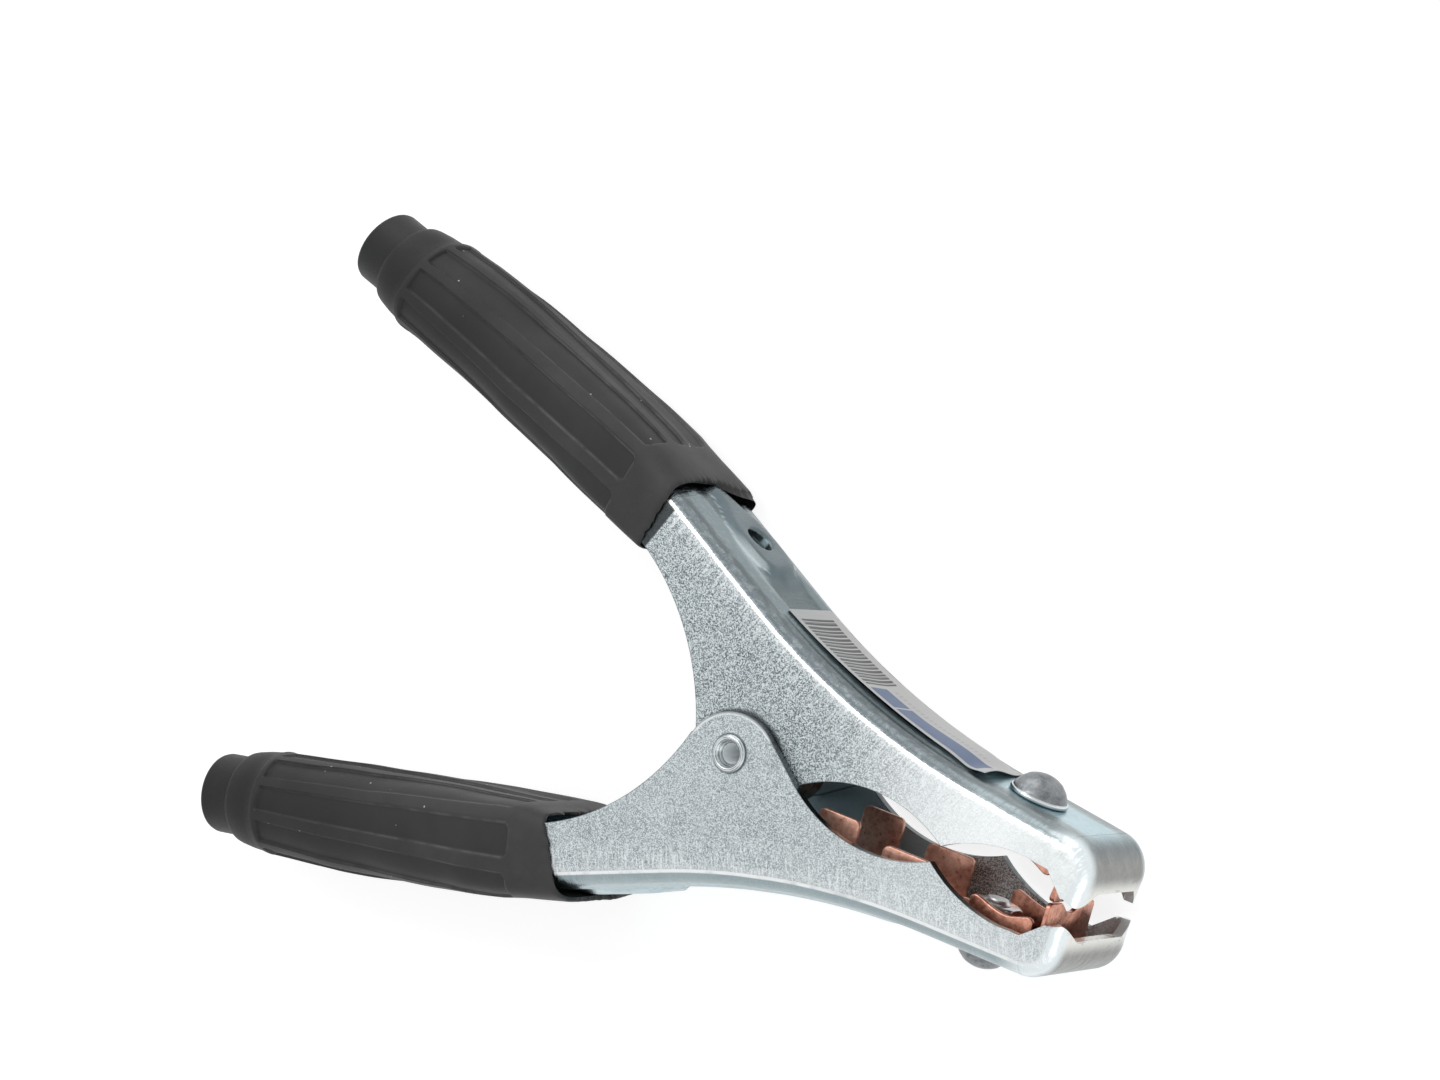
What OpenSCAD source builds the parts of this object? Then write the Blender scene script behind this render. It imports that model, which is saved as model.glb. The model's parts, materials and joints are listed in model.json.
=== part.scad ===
// Earth clamp for a welding lead: a spring clamp of two pressed steel channels.
// The channels turn on one hollow rivet, and a torsion spring inside them keeps the jaws shut.
// Copper contact trays line the jaws, and rubber grips with cable nozzles cover the handles.
// The clamp lies on its side: X runs along its centre line to the jaws, Y across the handles
// and Z along the pivot. The origin is the middle of the footprint, on the resting plane.
// Each arm is drawn with its back up (+Y); the outer arm is the mirror image of the inner one.

/* [Steel arms] */
// Thickness of the pressed sheet
sheet_t = 2; // [1.6:0.1:2.4]
// Width of the outer arm over its side plates
outer_arm_w = 34.4; // [33:0.2:37]
// Width of either channel where its handle has narrowed
handle_neck_w = 22; // [20:0.5:24]
// Width of either channel at the end of its handle
handle_end_w = 19; // [17:0.5:20]
// Side clearance between the plates of the two arms
plate_gap = 0.3; // [0.2:0.05:0.5]
// Outside radius between the back of an arm and its side plates
edge_r = 4; // [3.2:0.2:4.6]
// Depth of the channel under a grip
handle_depth = 15; // [13.5:0.5:15.5]
// Length of the channel inside a grip
handle_len = 76; // [60:1:80]
// Length over which a handle narrows behind the knuckle
handle_neck_len = 30; // [26:1:36]
// Slope of the handles to the centre line
handle_slope = 15.4; // [14:0.2:17]
// Slope of an arm's back between grip and waist
shoulder_slope = 25; // [23:0.5:27]
// Slope of an arm's back along the jaw
jaw_slope = 4; // [3:0.5:5]
// Distance of the knuckle behind the pivot
knuckle_x = 39.3; // [38:0.1:42]
// Distance of the waist in front of the pivot
waist_x = 24; // [22:0.5:26]
// Bend radius at the knuckle
knuckle_r = 60; // [40:1:80]
// Bend radius at the waist
waist_r = 180; // [150:1:190]
// How far the ridges of the back stand over its rounded edges
crown_h = 1; // [0.5:0.1:1.2]
// Width of the slope between a rounded edge and its ridge
ridge_w = 1.5; // [1:0.1:2.5]
// How far the pad round the cable hole stands over the ridges
pad_h = 1.4; // [0.8:0.1:1.5]
// Depth of the gutter under the label, from the ridges
gutter_depth = 1; // [0.4:0.1:1]

/* [Jaws] */
// Distance from the pivot to the corner of the nose
jaw_reach = 89.2; // [88:0.1:92]
// Height of an arm's back at the nose over the centre line
nose_h = 15.1; // [14.5:0.1:16]
// Bend radius at the nose
nose_r = 8; // [7:0.25:9]
// How far the lip of the nose leans back
nose_lean = 0.8; // [0:0.1:1.5]
// Half of the gap between the teeth of the closed jaws
tooth_gap = 2; // [1.4:0.1:2.4]
// Length of the tooth along the side plate
tooth_len = 4.2; // [3.5:0.1:5]
// Width of the notch between the two teeth
notch_w = 13; // [10:0.5:14]
// Depth of the notch
notch_depth = 3.4; // [2.5:0.1:4]

/* [Side plates] */
// Reach of the ear past the pivot
ear_reach = 9.3; // [9:0.1:10]
// Radius of the ear
ear_r = 12.4; // [11.8:0.1:13]
// Radius of the throat between handle and ear
throat_r = 58.7; // [56:0.5:61]
// Radius of both scallops
scallop_r = 34.5; // [33:0.5:37]
// Middle of the rear scallop in front of the pivot
rear_scallop_x = 37.5; // [36.5:0.1:38.5]
// Height of the rear scallop over the centre line
rear_scallop_h = 6.2; // [5.8:0.1:6.6]
// Middle of the front scallop in front of the pivot
front_scallop_x = 74; // [73:0.1:75]
// Height of the front scallop over the centre line
front_scallop_h = 7.7; // [7.2:0.1:8.2]

/* [Pivot] */
// Diameter of the rivet's shank
rivet_d = 6; // [5:0.1:7]
// Bore of the hollow rivet
rivet_bore = 4.2; // [3:0.1:4.4]
// Diameter of the rolled rivet heads
rivet_head_d = 8.4; // [7.8:0.1:10]
// Height of a rolled rivet head
rivet_head_h = 1; // [0.6:0.1:1.4]
// Radial clearance of the inner arm on the rivet
pivot_play = 0.05; // [0.02:0.01:0.09]

/* [Torsion spring] */
// Diameter of the spring wire
wire_d = 3.2; // [2.6:0.1:3.4]
// Radius of the coil, to the middle of the wire
coil_r = 10.2; // [9.4:0.1:11]
// Pitch of the coil
coil_pitch = 4; // [3.9:0.05:4.2]
// Whole turns of the coil, before the part turn between the legs
coil_turns = 4; // [3:1:4]
// How far the legs reach behind the pivot
leg_reach = 46; // [42:1:52]
// Clearance of a leg to the back of its arm
leg_gap = 0.25; // [0.15:0.05:0.4]

/* [Contact trays] */
// Thickness of the copper strip
copper_t = 1.2; // [1:0.1:1.5]
// Width of a tray over its side walls
tray_w = 20.5; // [18.5:0.5:22]
// Distance of the tray's front wall from its bolt
tray_front = 17; // [16:0.5:18]
// Distance of the tray's rear end from its bolt
tray_rear = 43; // [38:1:44]
// Clearance between the front walls of the closed trays
tray_meet = 0.3; // [0.2:0.05:0.5]
// Depth of the dip between the two peaks of the front wall
peak_dip = 2.3; // [1.5:0.1:3]

/* [Contact bolts] */
// Distance of the contact bolts in front of the pivot
bolt_x = 65; // [64:0.5:66]
// Diameter of the bolt's thread
bolt_d = 6; // [5:0.5:6]
// Diameter of the domed head
bolt_head_d = 13.2; // [12:0.2:14]
// Height of the domed head
bolt_head_h = 5.4; // [4:0.1:6]
// Across flats of the nut
nut_af = 10; // [9:0.5:11]
// Height of the nut
nut_h = 4.6; // [4:0.1:5]
// Thickness of the lock washer
washer_t = 1.4; // [1:0.1:1.6]
// Length of thread that stands past the nut
bolt_tail = 1; // [0.5:0.1:1.5]

/* [Cable fixings] */
// Distance of the cable screw's hole behind the pivot
cable_hole_x = 21.6; // [19:0.2:24]
// Diameter of the cable screw's hole
cable_hole_d = 6.5; // [5.5:0.1:7]

/* [Grips] */
// Largest height of a grip, across its handle
grip_h = 25.6; // [25:0.2:27]
// Thickness of the rubber beside the channel at the mouth
grip_lip_t = 1.2; // [1:0.1:1.6]
// Width of a grip at its middle
grip_w = 32.6; // [31.6:0.2:34]
// Height of a grip at its mouth
grip_mouth_h = 21.4; // [21:0.2:23]
// Width of a grip at its shoulder
grip_end_w = 26.6; // [25:0.2:28]
// Height of a grip at its shoulder
grip_end_h = 24.8; // [24:0.2:26]
// Distance of the mouth in front of the knuckle
grip_mouth_x = 6.5; // [5:0.5:8]
// How much further out the inner arm's grip sits
grip_slide = 4; // [0:0.5:5]
// Length of a grip from the knuckle to its shoulder
grip_body_len = 87; // [84:1:92]
// Length of the collar
collar_len = 9.5; // [8:0.5:12]
// Diameter of the collar where it meets the nozzle
collar_d = 21.8; // [20:0.2:22.4]
// Length of the cable nozzle
nozzle_len = 9; // [7:0.5:12]
// Diameter of the cable nozzle
nozzle_d = 18.8; // [17.6:0.2:19.6]
// Bore of the cable nozzle
nozzle_bore = 13; // [11:0.5:14]
// Depth of the long panels sunk into a grip
panel_depth = 0.8; // [0.4:0.1:1.2]
// Play between the rubber and the steel
grip_play = 0.3; // [0.1:0.05:0.5]

/* [Label] */
// Length of the sticker along the back
label_len = 60; // [40:1:62]
// Width of the sticker
label_w = 19.6; // [16:0.2:20.4]
// Thickness of the sticker
label_t = 0.15; // [0.1:0.05:0.3]

/* [Hidden] */
$fn = 64;
inner_arm_w = outer_arm_w - 2 * (sheet_t + plate_gap);

function turn(a) = [cos(a), sin(a)];
function heading_of(p, q) = atan2(q.y - p.y, q.x - p.x);
// Points of an arc from angle a to angle b in n steps
function arc(c, r, a, b, n) = [for (k = [0:n]) c + r * turn(a + (b - a) * k / n)];
function blend(a, b, f) = a + (b - a) * f;
function clamp01(f) = min(1, max(0, f));
function smooth(f) = clamp01(f) * clamp01(f) * (3 - 2 * clamp01(f));
// Straight pieces joined end to end: value at x on a list of [x, value] pairs
function along(x, table, i = 0) =
  x <= table[i][0] ? table[i][1]
  : i + 1 == len(table) ? table[i][1]
  : x < table[i + 1][0]
  ? blend(table[i][1], table[i + 1][1], (x - table[i][0]) / (table[i + 1][0] - table[i][0]))
  : along(x, table, i + 1);

// The back of an arm runs from handle end to knuckle, waist, nose and lip, bent at each corner
function jaw_back(x) = nose_h + (jaw_reach - x) * tan(jaw_slope);
waist = [waist_x, jaw_back(waist_x)];
function shoulder_back(x) = waist.y + (waist_x - x) * tan(shoulder_slope);
knuckle = [-knuckle_x, shoulder_back(-knuckle_x)];
handle_end = knuckle + handle_len * turn(180 - handle_slope);
route = [handle_end, knuckle, waist, [jaw_reach, nose_h], [jaw_reach - nose_lean, tooth_gap]];
bend_r = [0, knuckle_r, waist_r, nose_r, 0];
function heading(i) = heading_of(route[i], route[i + 1]);
function bend_angle(i) = heading(i) - heading(i - 1);
function side(i) = sign(bend_angle(i));
function bend_trim(i) = bend_r[i] * tan(abs(bend_angle(i)) / 2);
function bend_centre(i) =
  route[i] - bend_trim(i) * turn(heading(i - 1)) + side(i) * bend_r[i] * turn(heading(i - 1) + 90);
function bend_line(i, inset, n) =
  arc(bend_centre(i), bend_r[i] + side(i) * inset,
    heading(i - 1) - side(i) * 90, heading(i) - side(i) * 90, n);
// The back line, moved into the sheet by inset, from the knuckle to the lip
function back_line(inset, shoulder = []) = concat(
  bend_line(1, inset, 3), shoulder, bend_line(2, inset, 12), bend_line(3, inset, 8),
  [route[4] + inset * turn(heading(3) - 90)]);

inward = turn(heading(0) - 90);
grip_axis = knuckle + (handle_depth / 2 - 0.5) * inward;
grip_len = grip_body_len + collar_len + nozzle_len;
nozzle_edge = 0.6;
rest_z = outer_arm_w / 2 + max(grip_lip_t, rivet_head_h);
rear_x = grip_axis.x - (grip_len + grip_slide) * cos(handle_slope)
  - (nozzle_d / 2 - nozzle_edge) * sin(handle_slope);
front_x = bend_centre(3).x + nose_r;
centre_x = (front_x + rear_x) / 2;

// Closed skin through rings that all have the same number of points
module skin(rings) {
  n = len(rings[0]);
  last = (len(rings) - 1) * n;
  polyhedron(
    points = [for (ring = rings) for (p = ring) p],
    faces = concat(
      [for (i = [0:len(rings) - 2]) for (k = [0:n - 1]) [i * n + (k + 1) % n, i * n + k, (i + 1) * n + k]],
      [for (i = [0:len(rings) - 2]) for (k = [0:n - 1])
        [(i + 1) * n + (k + 1) % n, i * n + (k + 1) % n, (i + 1) * n + k]],
      [for (k = [0:n / 2 - 2]) [k, k + 1, n - 1 - k]],
      [for (k = [0:n / 2 - 2]) [k + 1, n - 2 - k, n - 1 - k]],
      [for (k = [0:n / 2 - 2]) last * [1, 1, 1] + [n - 1 - k, k + 1, k]],
      [for (k = [0:n / 2 - 2]) last * [1, 1, 1] + [n - 1 - k, n - 2 - k, k + 1]]));
}

// Places the outer arm's pieces as the mirror image of the inner arm's
module on_arm(outer) {
  translate([-centre_x, 0, rest_z]) mirror([0, outer ? 1 : 0, 0]) children();
}

// Steel arms ------------------------------------------------------------------------------

// One wall of the channel section: half of it, from the foot of a leg to the middle of the back
function half_wall(w, leg, t, crown, gutter) = let (r = edge_r - t, e = w / 2 - edge_r) concat(
  [[w / 2 - t, leg]],
  [for (k = [0:4]) [e + r * cos(22.5 * k), edge_r - r * sin(22.5 * k)]],
  [[e - ridge_w, t - crown], [e - ridge_w - 2.5, t - crown + gutter]]);
function wall(w, leg, t, crown, gutter) = let (half = half_wall(w, leg, t, crown, gutter)) concat(
  half, [for (k = [len(half) - 1:-1:0]) [-half[k].x, half[k].y]]);
function channel_section(w, leg, crown, gutter) = let (inner = wall(w, leg, sheet_t, crown, gutter)) concat(
  wall(w, leg, 0, crown, gutter), [for (k = [len(inner) - 1:-1:0]) inner[k]]);
function channel_ring(p, a, w, leg, crown, gutter) =
  [for (q = channel_section(w, leg, crown, gutter)) [p.x + q.y * cos(a), p.y + q.y * sin(a), -q.x]];
// Distances in front of the pivot, with the height of the ridges and the depth of the middle below them
jaw_start = waist_x + bend_trim(2) * cos(jaw_slope);
crown_table = [[-43, 0], [-33, crown_h], [jaw_start - 12, crown_h], [jaw_start, 0]];
gutter_table = [[-43, 0], [-33, -pad_h], [-15, -pad_h], [-8, gutter_depth],
  [jaw_start - 19, gutter_depth], [jaw_start - 7, 0]];
shoulder_stations = [-33, -15, -11, -8];
function shoulder_line(inset) =
  [for (x = shoulder_stations) [x, shoulder_back(x)] + inset * turn(heading(1) - 90)];

// The back of the channel with its two rounded edges, from the knuckle to the lip
module channel_back(w) {
  outer_line = back_line(0, shoulder_line(0));
  inner_line = back_line(1, shoulder_line(1));
  skin([for (k = [0:len(outer_line) - 1])
    channel_ring(outer_line[k], heading_of(outer_line[k], inner_line[k]), w, edge_r + 1.5,
      along(outer_line[k].x, crown_table), along(outer_line[k].x, gutter_table))]);
}

// The handle narrows inside its grip
module channel_handle(w) {
  start = bend_line(1, 0, 3)[0];
  a = heading(0) - 90;
  skin([
    channel_ring(handle_end, a, handle_end_w, handle_depth, 0, 0),
    channel_ring(knuckle + handle_neck_len * turn(180 - handle_slope), a, handle_neck_w, handle_depth, 0, 0),
    channel_ring(start - 0.3 * turn(heading(0)), a, w, handle_depth, 0, 0),
    channel_ring(start + 0.5 * turn(heading(0)), a, w, handle_depth, 0, 0)]);
}

ear_centre = [1, ear_r - ear_reach];
throat_angle = 17.6;
throat_centre = ear_centre - (ear_r + throat_r + 0.2) * turn(throat_angle);
rear_scallop = [rear_scallop_x, rear_scallop_h - scallop_r];
front_scallop = [front_scallop_x, front_scallop_h - scallop_r];
cusp = (rear_scallop + front_scallop) / 2
  + sqrt(pow(scallop_r, 2) - pow(norm(front_scallop - rear_scallop) / 2, 2))
  * turn(heading_of(rear_scallop, front_scallop) + 90);
// Where the throat meets the inner edge of the handle
handle_edge = bend_line(1, 0, 3)[0] + handle_depth * inward;
throat_drop = (handle_edge - throat_centre) * -inward;
throat_end = throat_centre - throat_drop * inward
  + sqrt(pow(throat_r, 2) - pow(throat_drop, 2)) * turn(heading(0));
ear_right = -50;
scallop_start_x = 17;

// Outline of a side plate: back, tooth, front scallop, cusp, rear scallop, ear and throat
module plate_outline() {
  inset = edge_r + 0.7;
  tooth = route[4].x - tooth_len;
  polygon(concat(
    back_line(inset),
    [[tooth, tooth_gap]],
    arc(front_scallop + [3, 0], scallop_r - 0.3, 86, 90, 2),
    arc(front_scallop, scallop_r, 90, heading_of(front_scallop, cusp), 12),
    arc(rear_scallop, scallop_r, heading_of(rear_scallop, cusp),
      180 - acos((rear_scallop_x - scallop_start_x) / scallop_r), 16),
    arc(ear_centre, ear_r, ear_right, throat_angle - 180, 18),
    arc(throat_centre, throat_r, throat_angle, heading_of(throat_centre, throat_end), 14),
    [handle_edge, handle_edge - 6 * inward]));
}

// The notch between the two teeth of the nose
module notch() {
  translate([route[4].x, tooth_gap, 0]) rotate([0, 90, 0])
    linear_extrude(3 * sheet_t, center = true)
      polygon([[-notch_w / 2, notch_depth], [notch_w / 2, notch_depth],
        [notch_w / 2 + notch_depth, -1], [-notch_w / 2 - notch_depth, -1]]);
}

// At the contact bolt on the back of the jaw, with X along it and Y out of it
module at_bolt() { translate([bolt_x, jaw_back(bolt_x), 0]) rotate([0, 0, -jaw_slope]) children(); }
// The same at the cable screw's hole, on the shoulder
module at_cable_hole() {
  translate([-cable_hole_x, shoulder_back(-cable_hole_x), 0]) rotate([0, 0, -shoulder_slope]) children();
}

module arm(w, pivot_bore, cable_hole) {
  difference() {
    union() {
      channel_back(w);
      channel_handle(w);
      for (s = [-1, 1]) translate([0, 0, s * (w - sheet_t) / 2])
        linear_extrude(sheet_t, center = true) plate_outline();
    }
    notch();
    cylinder(h = 2 * w, d = pivot_bore, center = true);
    at_bolt() rotate([90, 0, 0]) cylinder(h = 4 * sheet_t, d = bolt_d + 0.4, center = true);
    if (cable_hole)
      at_cable_hole() rotate([90, 0, 0]) cylinder(h = 4 * sheet_t, d = cable_hole_d, center = true);
  }
}

module outer_arm() { color([0.74, 0.78, 0.80]) on_arm(true) arm(outer_arm_w, rivet_d, false); }
module inner_arm() {
  color([0.74, 0.78, 0.80]) on_arm(false) arm(inner_arm_w, rivet_d + 2 * pivot_play, true);
}

// Pivot -----------------------------------------------------------------------------------

// Hollow rivet, its two ends rolled over the outer arm's plates
module pivot_rivet() {
  h = outer_arm_w / 2;
  rolled = concat(
    [[rivet_d / 2, h]],
    arc([(rivet_head_d - rivet_head_h) / 2, h + rivet_head_h / 2], rivet_head_h / 2, -90, 90, 8),
    [[rivet_bore / 2 + 0.9, h + rivet_head_h], [rivet_bore / 2, h - 0.6]]);
  color([0.80, 0.81, 0.80]) on_arm(false) rotate_extrude() polygon(concat(
    rolled, [for (k = [len(rolled) - 1:-1:0]) [rolled[k].x, -rolled[k].y]]));
}

// Torsion spring --------------------------------------------------------------------------

// Each leg leaves the coil on a tangent and ends under the back of its arm
function leg_end() = let (back = bend_line(1, sheet_t + leg_gap + wire_d / 2, 3)[0])
  back + (leg_reach + back.x) * turn(180 - handle_slope) / cos(handle_slope);
leg_tip = leg_end();
leg_angle = heading_of([0, 0], leg_tip) - acos(coil_r / norm(leg_tip));
coil_sweep = 360 * coil_turns + 360 - 2 * leg_angle;
coil_steps = ceil(coil_sweep / 45);
coil_rise = coil_pitch * coil_sweep / 360;
function coil_point(k) =
  let (a = leg_angle + coil_sweep * k / coil_steps) [coil_r * cos(a), coil_r * sin(a),
    coil_rise * (k / coil_steps - 0.5)];
wire_path = concat(
  [[leg_tip.x, leg_tip.y, -coil_rise / 2]],
  [for (k = [0:coil_steps]) coil_point(k)],
  [[leg_tip.x, -leg_tip.y, coil_rise / 2]]);
function unit(v) = v / norm(v);
function path_dir(k) = unit(
  unit(wire_path[min(k + 1, len(wire_path) - 1)] - wire_path[min(k, len(wire_path) - 2)])
  + unit(wire_path[max(k, 1)] - wire_path[max(k - 1, 0)]));
wire_sides = 6;
function wire_ring(k) = let (d = path_dir(k), u = unit(cross([0, 0, 1], d)), v = cross(d, u))
  [for (j = [0:wire_sides - 1]) wire_path[k]
    + wire_d / 2 * (cos(360 * j / wire_sides) * u + sin(360 * j / wire_sides) * v)];
echo(least_gap_of_spring_to_itself = min([for (i = [1:coil_steps + 1])
  for (j = [i + 5:1:coil_steps + 1]) norm(wire_path[i] - wire_path[j])]) - wire_d);

module torsion_spring() {
  color([0.36, 0.33, 0.31]) on_arm(false) skin([for (k = [0:len(wire_path) - 1]) wire_ring(k)]);
}

// Contact trays ---------------------------------------------------------------------------

// In the bolt's frame: how deep a point on the centre line, x in front of the bolt, lies
function to_centre_line(x) = (jaw_back(bolt_x) - x * sin(jaw_slope)) / cos(jaw_slope);
// Each tab of a side wall: its two ends and its reach from the centre line
tabs = [[-42.2, -31.6, 2.9], [-24.6, -12.4, 4.1]];
tab_r = 1.5;
saddle = [[-1.6, 6.2], [-0.6, 5.3], [2.6, 6], [6.4, 6.7], [9, 6.2], [12.8, 4.9], [14, 5.6]];

module tray_side() {
  floor_y = -sheet_t;
  linear_extrude(copper_t, center = true) {
    for (tab = tabs) {
      top = -to_centre_line((tab[0] + tab[1]) / 2) + tab[2];
      polygon(concat(
        [[tab[0], floor_y]],
        arc([tab[0] + tab_r, top + tab_r], tab_r, 180, 270, 4),
        arc([tab[1] - tab_r, top + tab_r], tab_r, 270, 360, 4),
        [[tab[1], floor_y]]));
    }
    polygon(concat(
      [[saddle[0].x, floor_y]],
      [for (p = saddle) [p.x, p.y - to_centre_line(p.x)]],
      [[saddle[len(saddle) - 1].x, floor_y]]));
    translate([-tray_rear, floor_y - 3]) square([tray_rear + tray_front, 3]);
  }
}

// Front wall: two peaks with a rounded dip between them
module tray_front_wall() {
  peak = -to_centre_line(tray_front) + tray_meet / 2;
  half = tray_w / 2;
  translate([tray_front - copper_t, 0, 0]) rotate([0, 90, 0]) linear_extrude(copper_t)
    polygon(concat(
      [[-half, -sheet_t], [-half, peak + 0.6], [-half + 0.6, peak], [-half + 3.6, peak]],
      [for (k = [-3:3]) [1.1 * k, peak + peak_dip * smooth(1.25 - abs(k) / 3.4)]],
      [[half - 3.6, peak], [half - 0.6, peak], [half, peak + 0.6], [half, -sheet_t]]));
}

module contact_tray() {
  at_bolt() difference() {
    union() {
      translate([-tray_rear, -sheet_t - copper_t, -tray_w / 2])
        cube([tray_rear + tray_front, copper_t, tray_w]);
      for (s = [-1, 1]) translate([0, 0, s * (tray_w - copper_t) / 2]) tray_side();
      tray_front_wall();
    }
    rotate([90, 0, 0]) cylinder(h = 8 * sheet_t, d = bolt_d + 0.4, center = true);
  }
}

module outer_contact() { color([0.72, 0.42, 0.33]) on_arm(true) contact_tray(); }
module inner_contact() { color([0.72, 0.42, 0.33]) on_arm(false) contact_tray(); }

// Contact bolts, washers and nuts ---------------------------------------------------------

stack = sheet_t + copper_t + washer_t + nut_h;

// Domed head on the back of the arm, shank through arm, tray, washer and nut
module contact_bolt() {
  rim = 1;
  rise = bolt_head_h - rim;
  dome_r = (pow(bolt_head_d / 2, 2) + pow(rise, 2)) / (2 * rise);
  at_bolt() rotate([-90, 0, 0]) rotate_extrude() polygon(concat(
    [[0, -stack - bolt_tail], [bolt_d / 2 - 0.5, -stack - bolt_tail], [bolt_d / 2, 0.5 - stack - bolt_tail],
      [bolt_d / 2, 0], [bolt_head_d / 2, 0]],
    arc([0, bolt_head_h - dome_r], dome_r, asin((rim + dome_r - bolt_head_h) / dome_r), 90, 10)));
}

// Split ring
module lock_washer() {
  at_bolt() rotate([90, 0, 0]) translate([0, 0, sheet_t + copper_t]) difference() {
    cylinder(h = washer_t, d = bolt_d + 4.6);
    translate([0, 0, -1]) cylinder(h = washer_t + 2, d = bolt_d + 0.3);
    rotate([0, 0, 140]) translate([0, -0.4, -1]) rotate([15, 0, 0]) cube([bolt_d, 0.8, washer_t + 3]);
  }
}

// Hexagon nut with chamfered corners
module contact_nut() {
  r = nut_af / 2 / cos(30);
  at_bolt() rotate([90, 0, 0]) translate([0, 0, stack - nut_h]) difference() {
    intersection() {
      cylinder(h = nut_h, r = r, $fn = 6);
      rotate_extrude() polygon([[0, 0], [nut_af / 2, 0], [r, (r - nut_af / 2) * tan(30)],
        [r, nut_h - (r - nut_af / 2) * tan(30)], [nut_af / 2, nut_h], [0, nut_h]]);
    }
    translate([0, 0, -1]) cylinder(h = nut_h + 2, d = bolt_d);
  }
}

module outer_contact_bolt() { color([0.62, 0.63, 0.64]) on_arm(true) contact_bolt(); }
module inner_contact_bolt() { color([0.62, 0.63, 0.64]) on_arm(false) contact_bolt(); }
module outer_lock_washer() { color([0.70, 0.72, 0.72]) on_arm(true) lock_washer(); }
module inner_lock_washer() { color([0.70, 0.72, 0.72]) on_arm(false) lock_washer(); }
module outer_contact_nut() { color([0.78, 0.80, 0.80]) on_arm(true) contact_nut(); }
module inner_contact_nut() { color([0.78, 0.80, 0.80]) on_arm(false) contact_nut(); }

// Grips -----------------------------------------------------------------------------------

// Stations of a grip: distance from the knuckle, half height, half width, squareness
mouth = -grip_mouth_x;
body_h = [[mouth, grip_mouth_h / 2], [8, grip_h / 2 - 1.4], [26, grip_h / 2 - 0.8], [44, grip_h / 2 - 0.3],
  [64, grip_h / 2], [grip_body_len, grip_end_h / 2]];
function body_w(w) = [[mouth, w / 2 + grip_lip_t], [8, w / 2 + grip_lip_t - 0.2], [44, grip_w / 2],
  [grip_body_len, grip_end_w / 2]];
squareness = [[mouth, 7], [10, 6], [26, 3.8], [50, 2.7], [grip_body_len, 2.2]];
panels = 10;
ring_n = 4 * panels;
// Point j of a rounded section, with the sunk panels when the depth isn't zero
function section_point(j, h, w, q, depth) =
  let (a = 360 * j / ring_n, c = cos(a), s = sin(a), sunk = j % 4 == 2 ? 0 : depth)
  [(h - sunk) * sign(c) * pow(abs(c), 2 / q), (w - sunk) * sign(s) * pow(abs(s), 2 / q)];
function grip_ring(x, h, w, q, depth, lean) =
  [for (j = [0:ring_n - 1]) let (p = section_point(j, h, w, q, depth)) [x + lean * p.x, p.x, p.y]];
function body_ring(x, w, depth, lean) =
  grip_ring(x, along(x, body_h), along(x, body_w(w)), along(x, squareness), depth, lean);
function round_ring(x, d) = grip_ring(x, d / 2, d / 2, 2, 0, 0);
shoulder_x = grip_body_len;
collar_x = shoulder_x + collar_len;

module grip_body(w) {
  skin(concat(
    [body_ring(mouth, w, 0, 0.3), body_ring(mouth + 3, w, 0, 0.24)],
    [for (x = [6, 10]) body_ring(x, w, 0, 0)],
    [for (x = [12, 26, 38, 50, 64, 78]) body_ring(x, w, panel_depth, 0)],
    [body_ring(80, w, 0, 0), body_ring(shoulder_x - 1, w, 0, 0), round_ring(shoulder_x + 0.5, collar_d + 2),
      round_ring(shoulder_x + 5, collar_d + 1.4), round_ring(collar_x - 0.6, collar_d),
      round_ring(collar_x, nozzle_d), round_ring(grip_len - nozzle_edge, nozzle_d),
      round_ring(grip_len, nozzle_d - 2 * nozzle_edge)]));
}

// Hollow for the channel, which it clears all round. At the mouth it opens over the pad by lift
// and over the curve of the throat by drop.
foot_r = 0.4;
function cavity_ring(x, w, lift, drop) = let (top = handle_depth / 2 + grip_play)
  [for (c = [[1, 1], [-1, 1], [-1, -1], [1, -1]]) for (k = [0:3])
    let (a = atan2(c.y, c.x) - 45 + 30 * k, r = c.x > 0 ? foot_r : edge_r - 1,
      reach = top + (c.x > 0 ? drop : lift))
    [x, 0.5 + c.x * (reach - r) + r * cos(a), c.y * (w / 2 + grip_play - r) + r * sin(a)]];

module grip_hollow(w) {
  bend_x = norm(bend_line(1, 0, 3)[0] - knuckle);
  skin([cavity_ring(mouth - 4, w, 1.8, 1.9), cavity_ring(bend_x, w, 0, 0),
    cavity_ring(handle_neck_len, handle_neck_w, 0, 0),
    cavity_ring(handle_len + 1, handle_end_w, 0, 0)]);
}

// In a grip's frame X runs from the knuckle to the nozzle and Y towards the centre line
module grip(w, slide) {
  translate(grip_axis) rotate([0, 0, 180 - handle_slope]) difference() {
    translate([slide, 0, 0]) grip_body(w);
    grip_hollow(w);
    rotate([0, 90, 0]) translate([0, 0, handle_len]) cylinder(h = grip_len, d = nozzle_bore);
  }
}

module outer_grip() { color([0.16, 0.16, 0.17]) on_arm(true) grip(outer_arm_w, 0); }
module inner_grip() { color([0.16, 0.16, 0.17]) on_arm(false) grip(inner_arm_w, grip_slide); }

// Label -----------------------------------------------------------------------------------

// Sticker on the inner arm's back, over the gutter
module label() {
  mid = heading_of(bend_centre(2), waist);
  span = label_len / waist_r * 180 / PI;
  color([0.90, 0.91, 0.92]) on_arm(false) translate(bend_centre(2))
    rotate([0, 0, mid - span / 2]) rotate_extrude(angle = span, $fn = 720)
      translate([waist_r - crown_h - 0.05 - label_t, -label_w / 2]) square([label_t, label_w]);
}

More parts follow.
